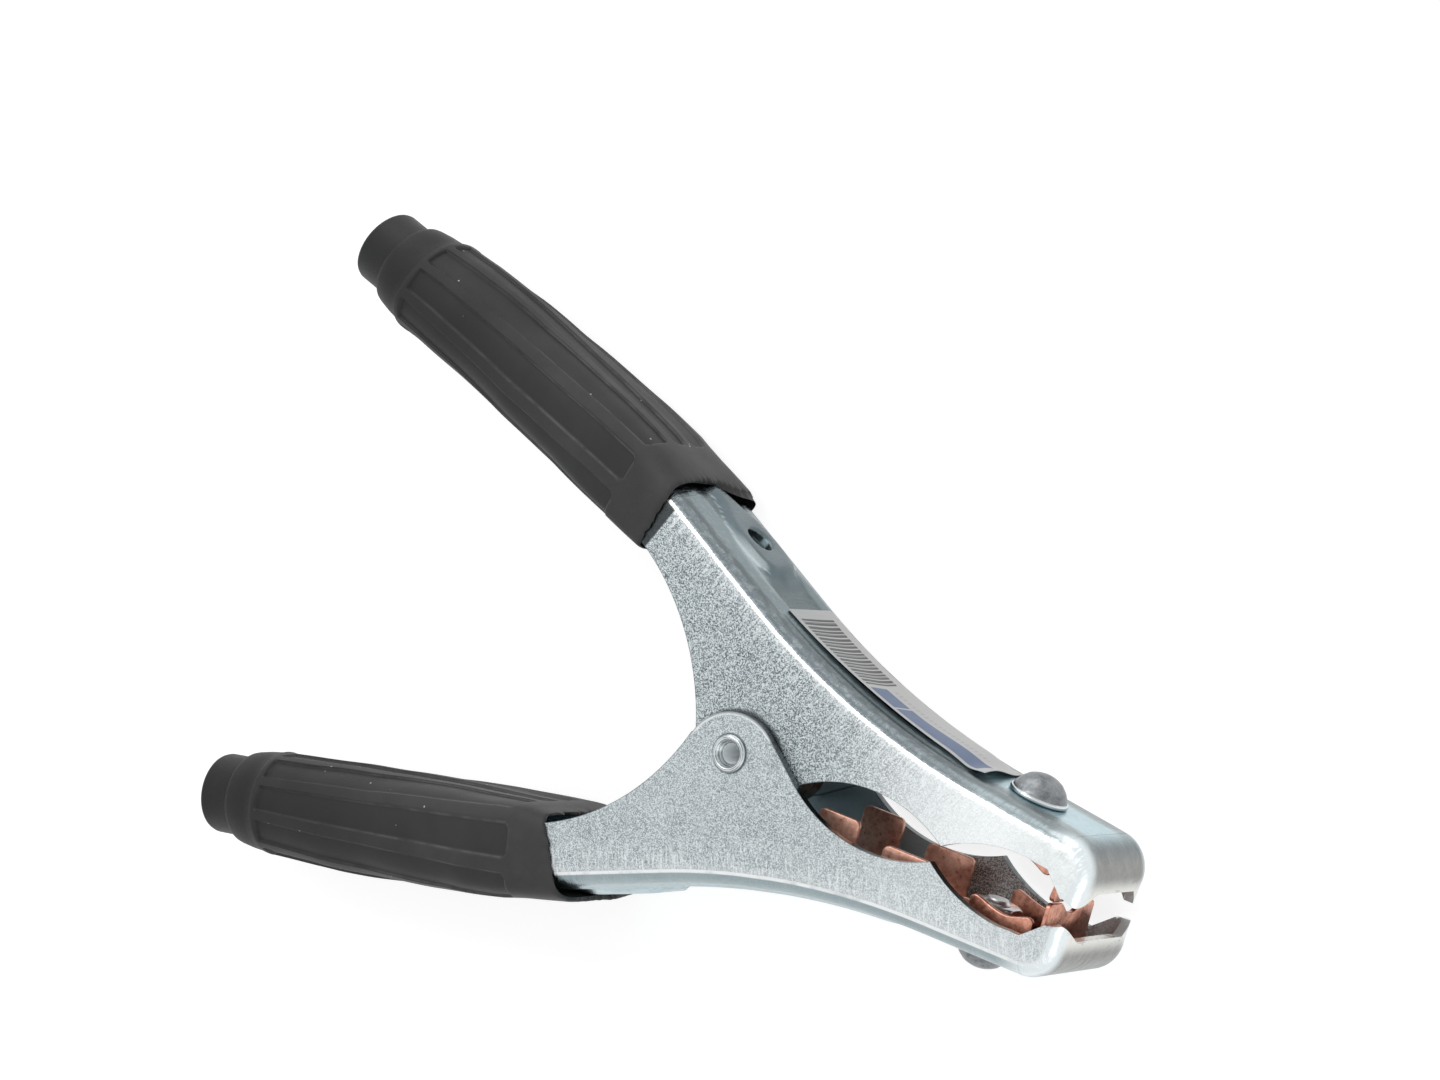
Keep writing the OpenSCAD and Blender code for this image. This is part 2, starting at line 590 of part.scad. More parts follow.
outer_arm();
inner_arm();
pivot_rivet();
torsion_spring();
outer_contact();
inner_contact();
outer_contact_bolt();
inner_contact_bolt();
outer_lock_washer();
inner_lock_washer();
outer_contact_nut();
inner_contact_nut();
outer_grip();
inner_grip();
label();
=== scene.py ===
# Earth clamp for a welding lead: two pressed steel arms on a hollow rivet, a torsion spring,
# copper contact trays with their bolts, rubber grips and a printed sticker. It lies on its side.
import json
from math import acos, asin, atan2, copysign, cos, degrees, pi, radians, sin, sqrt, tan

import bmesh
import bpy
import numpy as np
from mathutils import Matrix, Vector, noise


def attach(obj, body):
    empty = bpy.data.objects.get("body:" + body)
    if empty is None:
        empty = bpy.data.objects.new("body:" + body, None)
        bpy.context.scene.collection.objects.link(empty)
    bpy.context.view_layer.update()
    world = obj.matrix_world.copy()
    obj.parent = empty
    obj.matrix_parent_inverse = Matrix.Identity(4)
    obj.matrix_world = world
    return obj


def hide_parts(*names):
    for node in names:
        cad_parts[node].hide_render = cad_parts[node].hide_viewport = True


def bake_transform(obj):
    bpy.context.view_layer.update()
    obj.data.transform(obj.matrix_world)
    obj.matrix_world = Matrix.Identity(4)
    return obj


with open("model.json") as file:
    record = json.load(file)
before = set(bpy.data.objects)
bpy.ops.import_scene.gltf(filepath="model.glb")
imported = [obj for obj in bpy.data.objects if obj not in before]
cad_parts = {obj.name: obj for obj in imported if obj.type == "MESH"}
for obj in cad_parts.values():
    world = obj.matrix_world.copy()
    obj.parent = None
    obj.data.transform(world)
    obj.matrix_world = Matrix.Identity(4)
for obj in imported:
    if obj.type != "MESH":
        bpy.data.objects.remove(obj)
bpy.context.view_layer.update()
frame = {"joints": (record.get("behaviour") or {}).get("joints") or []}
pivot = Vector(frame["joints"][0]["pos_m"])


# Steel arms -----------------------------------
# Two channels pressed from 2 mm sheet and zinc plated. Each back is crowned between its rounded
# edges, with a raised pad at the shoulder and a gutter beyond it, and bends down into the nose.
SHEET = 2.0
OUTER_W, INNER_W = 34.4, 29.8
NECK_W, HANDLE_END_W = 22, 19
HANDLE_LEN, HANDLE_DEPTH = 76, 15
EDGE_R, KNUCKLE_R, WAIST_R, NOSE_R = 4.0, 60, 180, 8
KNUCKLE_X, WAIST_X, BOLT_X, NOSE_X = -39.3, 24, 65.0, 89.2
NOSE_H, NOSE_LEAN, TOOTH_Y = 15.1, 0.8, 2.0
CROWN, PAD, GUTTER = 1.0, 1.4, 1.0
INNER_EDGE = INNER_W / 2 - EDGE_R
CABLE_HOLE_X, CABLE_HOLE_R, HOLE_FLARE = -21.6, 3.25, 0.8
RIVET_HOLE_R, RIVET_PLAY = 3.0, 0.05


def turned(angle):
    return np.array([cos(angle), sin(angle)])


def ease(value):
    value = min(1.0, max(0.0, value))
    return value * value * (3 - 2 * value)


def heading(p, q):
    return atan2(q[1] - p[1], q[0] - p[0])


JAW_SLOPE, SHOULDER_SLOPE, HANDLE_SLOPE = (radians(a) for a in (4, 25, 15.4))


def jaw_back(x):
    """Height of an arm's back over the centre line, at x along its jaw."""
    return NOSE_H + (NOSE_X - x) * tan(JAW_SLOPE)


waist = np.array([WAIST_X, jaw_back(WAIST_X)])
knuckle = np.array([KNUCKLE_X, waist[1] + (WAIST_X - KNUCKLE_X) * tan(SHOULDER_SLOPE)])
handle_end = knuckle + HANDLE_LEN * turned(pi - HANDLE_SLOPE)
tooth = np.array([NOSE_X - NOSE_LEAN, TOOTH_Y])
route = [handle_end, knuckle, waist, np.array([NOSE_X, NOSE_H]), tooth]
bend_radius = [0, KNUCKLE_R, WAIST_R, NOSE_R, 0]
inward = turned(-HANDLE_SLOPE - pi / 2)


def bend(i):
    """Centre, first angle, last angle and turning side of the bend at corner i of the back."""
    a, b = heading(route[i - 1], route[i]), heading(route[i], route[i + 1])
    turn_side = copysign(1, b - a)
    trim = bend_radius[i] * tan(abs(b - a) / 2)
    start = route[i] - trim * turned(a)
    centre = start + turn_side * bend_radius[i] * turned(a + pi / 2)
    return centre, a - turn_side * pi / 2, b - turn_side * pi / 2, turn_side


def back_line():
    """The line of an arm's back as [(point, direction into the sheet)], finely divided."""
    line = []
    for i in (1, 2, 3):
        centre, a, b, turn_side = bend(i)
        steps = {1: 12, 2: 60, 3: 28}[i]
        if line:
            last, first = line[-1][0], centre + bend_radius[i] * turned(a)
            count = int(np.linalg.norm(first - last) / 1.2)
            line += [(last + (first - last) * k / count, line[-1][1]) for k in range(1, count)]
        for k in range(steps + 1):
            out = turned(a + (b - a) * k / steps)
            line.append((centre + bend_radius[i] * out, turn_side * out))
    first = line[0][0]
    line = [(first + (handle_end - first) * (1 - k / 8), line[0][1]) for k in range(8)] + line
    last, down = line[-1]
    return line + [(last + (tooth - last) * k / 8, down) for k in range(1, 9)]


EAR = np.array([1, 3.1])
EAR_R, THROAT_R, SCALLOP_R = 12.4, 58.7, 34.5
THROAT_TURN = 17.6
throat_centre = EAR - (EAR_R + THROAT_R + 0.2) * turned(radians(THROAT_TURN))
rear_scallop = np.array([37.5, 6.2 - SCALLOP_R])
front_scallop = np.array([74, 7.7 - SCALLOP_R])
knuckle_start = bend(1)[0] + KNUCKLE_R * turned(bend(1)[1])
handle_edge = knuckle_start + HANDLE_DEPTH * inward


def arc(centre, radius, a, b, count):
    """Points of an arc from a to b degrees."""
    return [centre + radius * turned(radians(a + (b - a) * k / count)) for k in range(count + 1)]


def plate_edge():
    """Free edge of a side plate from the handle to the tooth: throat, ear and two scallops."""
    drop = np.dot(handle_edge - throat_centre, -inward)
    run = sqrt(THROAT_R ** 2 - drop ** 2)
    throat_end = throat_centre - drop * inward + run * turned(-HANDLE_SLOPE)
    across = front_scallop - rear_scallop
    rise = sqrt(SCALLOP_R ** 2 - np.dot(across, across) / 4)
    upright = heading(rear_scallop, front_scallop) + pi / 2
    cusp = (rear_scallop + front_scallop) / 2 + rise * turned(upright)
    scallop_start = 180 - degrees(acos(20.5 / SCALLOP_R))
    edge = [handle_edge]
    edge += arc(throat_centre, THROAT_R, degrees(heading(throat_centre, throat_end)), THROAT_TURN, 26)
    edge += arc(EAR, EAR_R, THROAT_TURN - 180, -50, 30)
    edge += arc(rear_scallop, SCALLOP_R, scallop_start, degrees(heading(rear_scallop, cusp)), 30)
    edge += arc(front_scallop, SCALLOP_R, degrees(heading(front_scallop, cusp)), 90, 24)[1:]
    edge += arc(front_scallop + [3, 0], SCALLOP_R - 0.3, 90, 86, 3)
    return edge


def along(line, x):
    """Point and direction of the back line whose inner edge, EDGE_R in, lies at x."""
    for (p, n), (q, m) in zip(line[:-1], line[1:]):
        a, b = (p + EDGE_R * n)[0], (q + EDGE_R * m)[0]
        if a <= x <= b:
            f = (x - a) / (b - a)
            return p + (q - p) * f, n + (m - n) * f
    return line[-1]


def crown_at(x):
    """How far the middle of the back stands over its rounded edges at x."""
    return CROWN * ease((x + 43) / 10) * ease((57 - x) / 12)


def pad_side(x):
    """Half width of the inner arm's pad at x, where its edge starts at INNER_EDGE: it bulges,
    then ends at the gutter."""
    places = [-40, -32, -27, -22, -17.5, -14.5, -12.4, -11]
    return float(np.interp(x, places, [3.0, 5.4, 8.2, 9.2, 9.2, 8.4, 6.0, 0.0]))


def back_height(x, z, e):
    """How far the outside of the back stands over the bend line, at x and z across it."""
    z = abs(z)
    ridge = crown_at(x) * ease((e + 0.2 - z) / 3.0)
    pad = PAD * ease((pad_side(x) * e / INNER_EDGE - z) / 3.6) * ease((x + 47) / 9) * ease((-10.4 - x) / 3.6)
    gutter = GUTTER * ease((e - 1.9 - z) / 2.6) * ease((x + 13) / 5) * ease((50 - x) / 12)
    return ridge + pad - gutter


def pad_crease(x, z, e):
    """1 on the crease that runs round the pad, 0 away from it."""
    p = ease((pad_side(x) * e / INNER_EDGE + 0.2 - abs(z)) / 2.2)
    return 4 * p * (1 - p) * ease((x + 44) / 6) * ease((-9 - x) / 5)


def linked(name, mesh):
    """An object in the scene with the finished bmesh as its mesh, all faces turned outwards."""
    bmesh.ops.recalc_face_normals(mesh, faces=mesh.faces)
    data = bpy.data.meshes.new(name)
    mesh.to_mesh(data)
    mesh.free()
    piece = bpy.data.objects.new(name, data)
    bpy.context.scene.collection.objects.link(piece)
    return piece


def skinned(mesh, rings, capped=False):
    """Faces between each closed ring of vertices and the next, and over both ends if capped."""
    count = len(rings[0])
    for a, b in zip(rings[:-1], rings[1:]):
        for k in range(count):
            mesh.faces.new((a[k], a[(k + 1) % count], b[(k + 1) % count], b[k]))
    if capped:
        mesh.faces.new(rings[0])
        mesh.faces.new(rings[-1])


def own(x, y, z, side):
    """A point of an arm, given in its own millimetres from the pivot, in the part's frame."""
    return pivot + Vector((x, side * y, z)) / 1000


def arm_mesh(name, w, side):
    """One channel as a closed skin, both walls of the sheet, from the handle's end to the teeth."""
    line = back_line()
    edge = plate_edge()
    e = w / 2 - EDGE_R
    rows = [0, 0.03, 0.12, 0.3, 0.5, 0.7, 0.86, 0.95, 1]
    across = [e * sin(k * pi / 36) if k < 18 else e for k in range(19)]
    across = sorted(set([round(z, 3) for z in across] + [6.5, 9.13, e - 0.7, e - 1.4, e - 2.2]))
    across = [z for z in across if z < e - 0.05]
    web = [e] + list(reversed(across)) + [-z for z in across[1:]] + [-e]
    flat_rows, fold_steps = len(rows), 9

    nose = bend(3)
    nose_start = nose[0] + NOSE_R * turned(nose[1])
    upper_first, upper_last = (knuckle_start + EDGE_R * inward)[0], nose_start[0]
    stations = []
    for p, n in line[:8]:
        width = np.interp(np.linalg.norm(p - knuckle), [5.04, 30, HANDLE_LEN], [w, NECK_W, HANDLE_END_W])
        stations.append((p, n, p + HANDLE_DEPTH * n, width, 0))
    for foot in edge:
        f = (foot[0] - edge[0][0]) / (edge[-1][0] - edge[0][0])
        p, n = along(line, upper_first + (upper_last - upper_first) * f)
        stations.append((p, n, foot, w, 0))
    fold_half = EDGE_R * pi / 4
    tip = 0.9 * ease(fold_half / 3.4)
    flank_end = np.array([84.2, TOOTH_Y + tip])
    last_bend = [s for s in line if s[0][0] > nose_start[0] + 0.01 and s[0][1] > TOOTH_Y + 0.01][:28]
    for k, (p, n) in enumerate(last_bend):
        foot = edge[-1] + (flank_end - edge[-1]) * ease((k + 1) / len(last_bend)) ** 0.8
        stations.append((p, n, foot, w, 0))
    last, down = last_bend[-1]
    for k in range(1, 10):
        foot = flank_end + np.array([0.2, -tip]) * k / 9
        stations.append((last + (tooth - last) * k / 9, down, foot, w, k / 9))

    def bite(reach, far):
        """Rise of the nose's edge at a distance round from the middle of its corner."""
        if reach < 0:
            return 0.9 * ease(-reach / 3.4)
        return min(3.3, max(0.0, (reach - 1.5) * 1.1 if far else (reach - 0.8) * 0.52))

    def ring(p, n, foot, width, lip, t):
        """One wall of the channel, t into the sheet, from the near foot round to the far one."""
        e_here = width / 2 - EDGE_R
        points, reaches = [], []
        top = p + EDGE_R * n
        for row in rows:
            q = foot + (top - foot) * row
            points.append((q[0], q[1], width / 2 - t))
            reaches.append(-fold_half)
        for k in range(1, fold_steps + 1):
            a = radians(9 * k)
            q = p + (EDGE_R - (EDGE_R - t) * sin(a)) * n
            points.append((q[0], q[1], e_here + (EDGE_R - t) * cos(a)))
            reaches.append(EDGE_R * a - fold_half)
        half = list(points)
        for z in web:
            z_here = z * e_here / e
            height = back_height(p[0], z_here, e_here) if p[0] < 60 else 0
            q = p + (t - height) * n
            points.append((q[0], q[1], z_here))
            reaches.append(e - abs(z) + fold_half)
        points += [(x, y, -z) for x, y, z in reversed(half)]
        reaches += list(reversed(reaches[:len(half)]))
        if lip > 0:
            rise = (last - tooth) / np.linalg.norm(last - tooth) * lip
            points = [(x + rise[0] * bite(reach, z < 0), y + rise[1] * bite(reach, z < 0), z)
                      for (x, y, z), reach in zip(points, reaches)]
        return points

    mesh = bmesh.new()
    free_edge = mesh.verts.layers.float.new("free_edge")
    crease = mesh.verts.layers.float.new("pad_crease")
    layers = []
    for p, n, foot, width, lip in stations:
        outside = ring(p, n, foot, width, lip, 0)
        loop = outside + list(reversed(ring(p, n, foot, width, lip, SHEET)))
        layers.append([mesh.verts.new(own(x, y, z, side)) for x, y, z in loop])
        for k in (0, len(outside) - 1, len(outside), -1):
            layers[-1][k][free_edge] = 1.0
        for k in range(flat_rows + fold_steps, len(outside) - flat_rows - fold_steps):
            layers[-1][k][crease] = pad_crease(p[0], outside[k][2], width / 2 - EDGE_R)
    skinned(mesh, layers)
    n = len(layers[0])
    for loop in (layers[0], layers[-1]):
        for k in range(n // 2 - 1):
            mesh.faces.new((loop[k], loop[k + 1], loop[n - 2 - k], loop[n - 1 - k]))
    bmesh.ops.remove_doubles(mesh, verts=mesh.verts, dist=5e-5)
    return linked(name, mesh)


def lathe(name, profile, origin, axis, sides=64):
    """A turned piece: profile is [(radius, height)] in mm, closed, about axis from origin."""
    mesh = bmesh.new()
    spin = Vector((0, 0, 1)).rotation_difference(Vector(axis))
    turns = [2 * pi * k / sides for k in range(sides)]
    rings = []
    for radius, height in profile:
        angles = turns if radius > 1e-6 else turns[:1]
        rings.append([mesh.verts.new(Vector(origin) + spin @ Vector(
            (radius * cos(a), radius * sin(a), height)) / 1000) for a in angles])
    for a, b in zip(rings, rings[1:] + rings[:1]):
        for k in range(sides):
            corners = [a[k % len(a)], a[(k + 1) % len(a)], b[(k + 1) % len(b)], b[k % len(b)]]
            corners = [c for i, c in enumerate(corners) if c not in corners[:i]]
            if len(corners) > 2:
                mesh.faces.new(corners)
    return linked(name, mesh)


def settled(piece, sharp):
    """The piece with its modifiers worked in, smooth but for corners over sharp degrees."""
    mesh = bpy.data.meshes.new_from_object(piece.evaluated_get(bpy.context.evaluated_depsgraph_get()))
    piece.modifiers.clear()
    piece.data = mesh
    mesh.shade_smooth()
    mesh.set_sharp_from_angle(angle=radians(sharp))
    return piece


def eased_edges(piece, width, segments=2, angle=40):
    """Rounds the piece's edges over angle degrees, width mm wide, once it is settled."""
    modifier = piece.modifiers.new("eased", "BEVEL")
    modifier.width = width / 1000
    modifier.segments = segments
    modifier.limit_method = "ANGLE"
    modifier.angle_limit = radians(angle)


def drilled(piece, cutter):
    """Takes the cutter out of the piece once it is settled, and gives the cutter back."""
    modifier = piece.modifiers.new("drilled", "BOOLEAN")
    modifier.operation = "DIFFERENCE"
    modifier.solver = "EXACT"
    modifier.object = cutter
    return cutter


class Value:
    """A socket of a material's nodes. Sums and products of it add Math nodes."""

    def __init__(self, socket):
        self.socket = socket

    def maths(self, operation, *others):
        node = self.socket.id_data.nodes.new("ShaderNodeMath")
        node.operation = operation
        for slot, item in zip(node.inputs, others):
            feed(slot, item)
        return Value(node.outputs[0])

    def __add__(self, other):
        return self.maths("ADD", self, other)

    def __sub__(self, other):
        return self.maths("SUBTRACT", self, other)

    def __rsub__(self, other):
        return self.maths("SUBTRACT", other, self)

    def __mul__(self, other):
        return self.maths("MULTIPLY", self, other)

    __radd__ = __add__
    __rmul__ = __mul__

    def size(self):
        return self.maths("ABSOLUTE", self)

    def most(self, other):
        return self.maths("MAXIMUM", self, other)

    def modulo(self, other):
        return self.maths("FLOORED_MODULO", self, other)


def feed(slot, item):
    """Links a Value to a socket, or sets the socket to a number, vector or colour."""
    if isinstance(item, Value):
        slot.id_data.links.new(item.socket, slot)
    elif isinstance(item, tuple) and len(item) == 3 and slot.type == "RGBA":
        slot.default_value = (*item, 1)
    else:
        slot.default_value = item


class Finish:
    """A material with its Principled shader, to which the look of one finish is added."""

    def __init__(self, name, **constants):
        self.material = bpy.data.materials.new(name)
        self.material.use_nodes = True
        self.tree = self.material.node_tree
        self.shader = self.tree.nodes["Principled BSDF"]
        self.set(**constants)

    def node(self, kind, sockets, out=0, **settings):
        """A node's output, once its settings and then its sockets' values or links are in."""
        node = self.tree.nodes.new("ShaderNode" + kind)
        for key, item in settings.items():
            setattr(node, key, item)
        for key, item in sockets.items():
            feed(node.inputs[key], item)
        return Value(node.outputs[out])

    def place(self):
        return self.node("TexCoord", {}, out="Object")

    def axis(self, vector, name):
        return self.node("SeparateXYZ", {0: vector}, out=name)

    def mm(self, name):
        """Distance from the pivot along the axis X, Y or Z, in mm."""
        return (self.axis(self.place(), name) - pivot["XYZ".index(name)]) * 1000

    def joined(self, *parts):
        return self.node("CombineXYZ", dict(enumerate(parts)))

    def length(self, vector):
        return self.node("VectorMath", {0: vector}, out="Value", operation="LENGTH")

    def attribute(self, name, out="Fac"):
        return self.node("Attribute", {}, out=out, attribute_name=name)

    def grain(self, scale, detail, rough, at=None, stretch=(1, 1, 1)):
        spread = self.node("VectorMath", {0: at or self.place(), 1: stretch}, operation="MULTIPLY")
        sockets = {"Vector": spread, "Scale": scale, "Detail": detail, "Roughness": rough}
        return self.node("TexNoise", sockets, out="Fac")

    def step(self, value, low, high):
        return self.node("MapRange", {"Value": value, "From Min": low, "From Max": high},
                         interpolation_type="SMOOTHSTEP")

    def between(self, value, a, b, c, d):
        """1 from b to c, falling to 0 at a and at d."""
        return self.step(value, a, b) * (1 - self.step(value, c, d))

    def mixed(self, share, a, b):
        return self.node("Mix", {"Factor": share, 6: a, 7: b}, out=2, data_type="RGBA")

    def layered(self, colour, *coats):
        """The colour under coats of (share, colour), each laid over the ones before."""
        for share, coat in coats:
            colour = self.mixed(share, colour, coat)
        return colour

    def relief(self, height, distance, strength):
        bumped = self.node("Bump", {"Height": height, "Distance": distance, "Strength": strength})
        feed(self.shader.inputs["Normal"], bumped)

    def set(self, **looks):
        for key, item in looks.items():
            feed(self.shader.inputs[key.replace("_", " ")], item)
        return self.material


def zinc(name, half_width, side):
    """Blue zinc plating: grained on the side plates, smoother and bluer over the back."""
    f = Finish(name, Metallic=1.0, IOR=1.8)
    face = f.axis(f.node("TexCoord", {}, out="Normal"), "Z")
    plate = f.step(face.size(), 0.93, 0.99)
    x, y, level = f.mm("X"), f.mm("Y") * side, f.mm("Z")
    z = level.size()
    e = half_width - EDGE_R
    fine, coarse, cloud = f.grain(3800, 1, 0.6), f.grain(1500, 3, 0.7), f.grain(60, 3, 0.6)
    speckle = f.step(fine * 0.8 + coarse * 0.2, 0.43, 0.57)
    pits = 1 - f.step(f.grain(1300, 2, 0.6), 0.34, 0.42)

    def below(slope):
        """Distance of a point below the back's line on the given slope."""
        up = np.array([sin(slope), cos(slope)])
        return float(np.dot(waist, up)) - (x * float(up[0]) + y * float(up[1]))

    bend_mm = 16.0
    slopes = dict(enumerate((below(SHOULDER_SLOPE), below(JAW_SLOPE), bend_mm)))
    depth = f.node("Math", slopes, operation="SMOOTH_MAX")
    run = x * cos(SHOULDER_SLOPE) - y * sin(SHOULDER_SLOPE)
    pressed = f.joined(run, depth * 0.13, z * 0.1)
    near_edge = 1 - f.step(depth, 3.5, 13)
    streak = f.step(f.grain(1.9, 4, 0.65, at=pressed), 0.5, 0.61) * near_edge
    draw = f.step(f.grain(1, 3, 0.6, at=pressed), 0.44, 0.6)
    front = f.step(x, 18, 66)
    by_grip = 1 - f.step(x, -46, -26)

    # The outside of the side plates, with painted light: brighter towards the jaw, lighter
    # overall on the outer arm, and brighter along the back's edge.
    grained = f.layered(
        (0.105, 0.13, 0.14),
        (speckle, (0.6, 0.655, 0.675)),
        (draw * 0.16, (0.62, 0.67, 0.685)),
        (0.26 if side < 0 else 0, (0.66, 0.715, 0.735)),
        (f.step(cloud, 0.35, 0.65) * 0.12, (0.58, 0.63, 0.645)),
        (pits * (1 - front) * 0.4, (0.12, 0.14, 0.15)),
        (front * (0.86 if side > 0 else 0.24), (0.88, 0.91, 0.915)),
        (f.step(x, 66, 76) * cloud * 0.5, (0.56, 0.6, 0.61)),
        (streak * (0.5 + 0.35 * by_grip), (0.86, 0.89, 0.9)),
        ((1 - f.step(depth, 4, 4.7)) * 0.2, (0.8, 0.835, 0.845)))

    # Painted light: a painted highlight on the outer ear's rim and a painted shadow round the
    # rivet, or, on the inner arm, painted shade under the outer ear and at the grip's mouth.
    ear_r = f.length(f.joined(x - float(EAR[0]), y + side * float(EAR[1])))
    if side < 0:
        # painted highlight on the ear's rim
        rim = f.step(ear_r, 11.4, 11.9) * (1 - f.step(y + x * 0.3, -4.4, -3.2))
        # painted shadow round the rivet's rolled end
        rivet_shadow = f.between(f.length(f.joined(x, y)), 3.9, 4.15, 4.3, 4.75)
        marks = (rim * 0.7, (0.80, 0.83, 0.84)), (rivet_shadow * 0.75, (0.07, 0.08, 0.085))
    else:
        under = f.between(ear_r, 11.8, 12.2, 12.6, 13.5)
        from_mouth = x * cos(HANDLE_SLOPE) - y * (sin(HANDLE_SLOPE) + 0.148)
        at_mouth = (1 - f.step(from_mouth, -52.1, -51.5)) * 0.95
        marks = (under * 0.8, (0.06, 0.07, 0.075)), (at_mouth, (0.045, 0.052, 0.055))

    # The inside of the plates, painted paler than the outside zinc as painted light in the
    # channel, teal towards the shoulder and pale at the tip; then the whole of them.
    inside = f.step(0 - level * face, 0.5, 2)
    at_tip = f.step(x, 78, 82)
    # painted light: the inside faces coloured paler than the outside
    hidden = f.layered(
        (0.22, 0.26, 0.27),
        (f.step(fine * 0.6 + coarse * 0.4, 0.45, 0.55), (1, 1, 1)),
        (1 - f.step(x, 34, 50), (0.46, 0.6, 0.66)),
        (at_tip * 0.7, (0.66, 0.68, 0.685)))
    grained = f.layered(grained, *marks, (inside * 0.9, hidden))

    # The back: shoulder, jaw and nose, with painted reflections: the inner arm's shoulder a dark
    # copy of the outer's, dark strips inside its rounded edges, a dark band at the nose's bend
    # over a pale lower nose, and a painted highlight on the nose's corner.
    dark, pale = (0.42, 0.53, 0.565), (0.50, 0.61, 0.645)
    # painted reflection: the inner arm's shoulder is a much darker copy of the same zinc
    if side > 0:
        dark, pale = (0.100, 0.132, 0.144), (0.152, 0.195, 0.212)
    jaw = f.mixed(f.step(z, 3, e), (0.46, 0.615, 0.66), (0.44, 0.53, 0.555))
    dents = f.step(f.grain(380, 3, 0.65, stretch=(1, 2.2, 0.5)), 0.58, 0.66)
    # painted reflection: pale low on the nose, darker at mid height and darkest at the bend
    nose = f.layered(
        (0.74, 0.745, 0.71),
        (f.step(y, 5, 9), (0.25, 0.255, 0.245)),
        (f.step(y, 11, 15), (0.155, 0.18, 0.19)),
        (dents * 0.35, (0.2, 0.2, 0.2)))
    edge = f.between(x, -50, -40, 78, 86)
    lower = z + 3.2 * f.step(x, 46, 58)
    strip = edge * (1.0 if side > 0 else 0.4)
    shadow = f.mixed(f.step(x, 50, 62), (0.13, 0.15, 0.16), (0.22, 0.255, 0.265))
    scuff = f.step(f.grain(420, 3, 0.6, stretch=(1, 1, 3)), 0.52, 0.62)
    smooth = f.layered(
        f.mixed(f.step(cloud, 0.3, 0.7), dark, pale),
        (f.step(x, 34, 62), jaw),
        (f.step(x, 80.5, 86), nose),
        # painted reflections: a mid strip and a dark strip inside the rounded edges
        (f.step(z, e - 4.6, e - 3.2) * strip * 0.75, (0.265, 0.315, 0.33)),
        (f.step(lower, e + 0.2, e + 1.6) * strip * 0.85, shadow),
        (scuff * f.step(z, e - 2.6, e - 1) * 0.2, (0.42, 0.46, 0.47)),
        # painted highlight on the nose's corner
        (f.step(z, e - 1, e + 2.5) * f.step(x, 75, 84), (0.74, 0.8, 0.82)))
    if side > 0:
        # painted highlights on the pad's front flank and along its crease
        flank = f.step(level * face, 1.2, 2.6) * (1 - f.step(z, e - 2.4, e - 1.2))
        crease = f.step(f.attribute("pad_crease"), 0.45, 1)
        smooth = f.layered(
            smooth,
            (flank * f.between(x, -24, -16, -8, -4) * 0.5, (0.52, 0.58, 0.6)),
            (crease * (0.2 + 0.4 * cloud), (0.62, 0.7, 0.72)))

    # Back and plates together, with the dark cut edges, painted light on the inside faces at the
    # tip, and a painted highlight along the folds, patchy with wear.
    cut = f.step(depth, 5, 6) * f.step(z, e + 1.6, e + 1.9) * (1 - f.step(x, 79, 82))
    outline = f.step(f.attribute("free_edge"), 0.35, 0.9)
    worn = f.step(f.grain(150, 3, 0.6, stretch=(1, 1, 0.4)), 0.32, 0.52)
    # painted highlight along the folds, broken up by wear noise
    fold_highlight = f.between(z, e + 3.62, e + 3.74, e + 3.88, e + 3.94) * edge * (1 - f.step(depth, 4.6, 5.4))
    colour = f.layered(
        smooth,
        (cut * 0.8, (0.1, 0.11, 0.115)),
        (plate, grained),
        # painted light on the inside faces at the tip
        (inside * at_tip * (1 - plate), (0.66, 0.68, 0.685)),
        (outline * 0.65, (0.1, 0.115, 0.12)),
        (fold_highlight * (0.5 + 0.4 * worn), (0.88, 0.9, 0.905)))
    rough = 0.22 + 0.16 * speckle * plate + 0.08 * cloud + 0.06 * plate + 0.16 * inside * plate
    buckled = f.grain(230, 2, 0.5) * f.step(x, 66, 76) * 7.0
    f.relief(fine * 0.5 + coarse * plate + streak * 0.4 + buckled, 0.00008, 0.8)
    shaded = inside * (0.2 + 0.5 * f.step(x, 44, 56) + 0.2 * at_tip)
    return f.set(Base_Color=colour, Roughness=rough, Metallic=1 - shaded)


def steel_arm(name, w, side, node, body, cable_hole):
    arm = arm_mesh(name, w, side)
    eased_edges(arm, 0.35)
    r = RIVET_HOLE_R + (RIVET_PLAY if side > 0 else 0)
    cutters = [drilled(arm, lathe("cut", [(r, -30), (r, 30), (0, 30), (0, -30)], pivot, (0, 0, 1)))]
    if cable_hole:
        normal = Vector((sin(SHOULDER_SLOPE), side * cos(SHOULDER_SLOPE), 0))
        back_y = waist[1] + (WAIST_X - CABLE_HOLE_X) * tan(SHOULDER_SLOPE)
        mouth_r = CABLE_HOLE_R + HOLE_FLARE
        flare = arc([mouth_r, CROWN + PAD - HOLE_FLARE], HOLE_FLARE, 180, 90, 5)
        profile = [(0, -6), (CABLE_HOLE_R, -6), *flare, (mouth_r, 6), (0, 6)]
        cutters.append(drilled(arm, lathe("cut", profile, own(CABLE_HOLE_X, back_y, 0, side), normal)))
    settled(arm, 38)
    for cutter in cutters:
        bpy.data.objects.remove(cutter)
    arm.data.materials.clear()
    arm.data.materials.append(zinc(name + "_zinc", w / 2, side))
    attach(arm, body)
    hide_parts(node)


steel_arm("pressed_outer_arm", OUTER_W, -1, "outer_arm", "outer", False)
steel_arm("pressed_inner_arm", INNER_W, 1, "inner_arm", "inner", True)


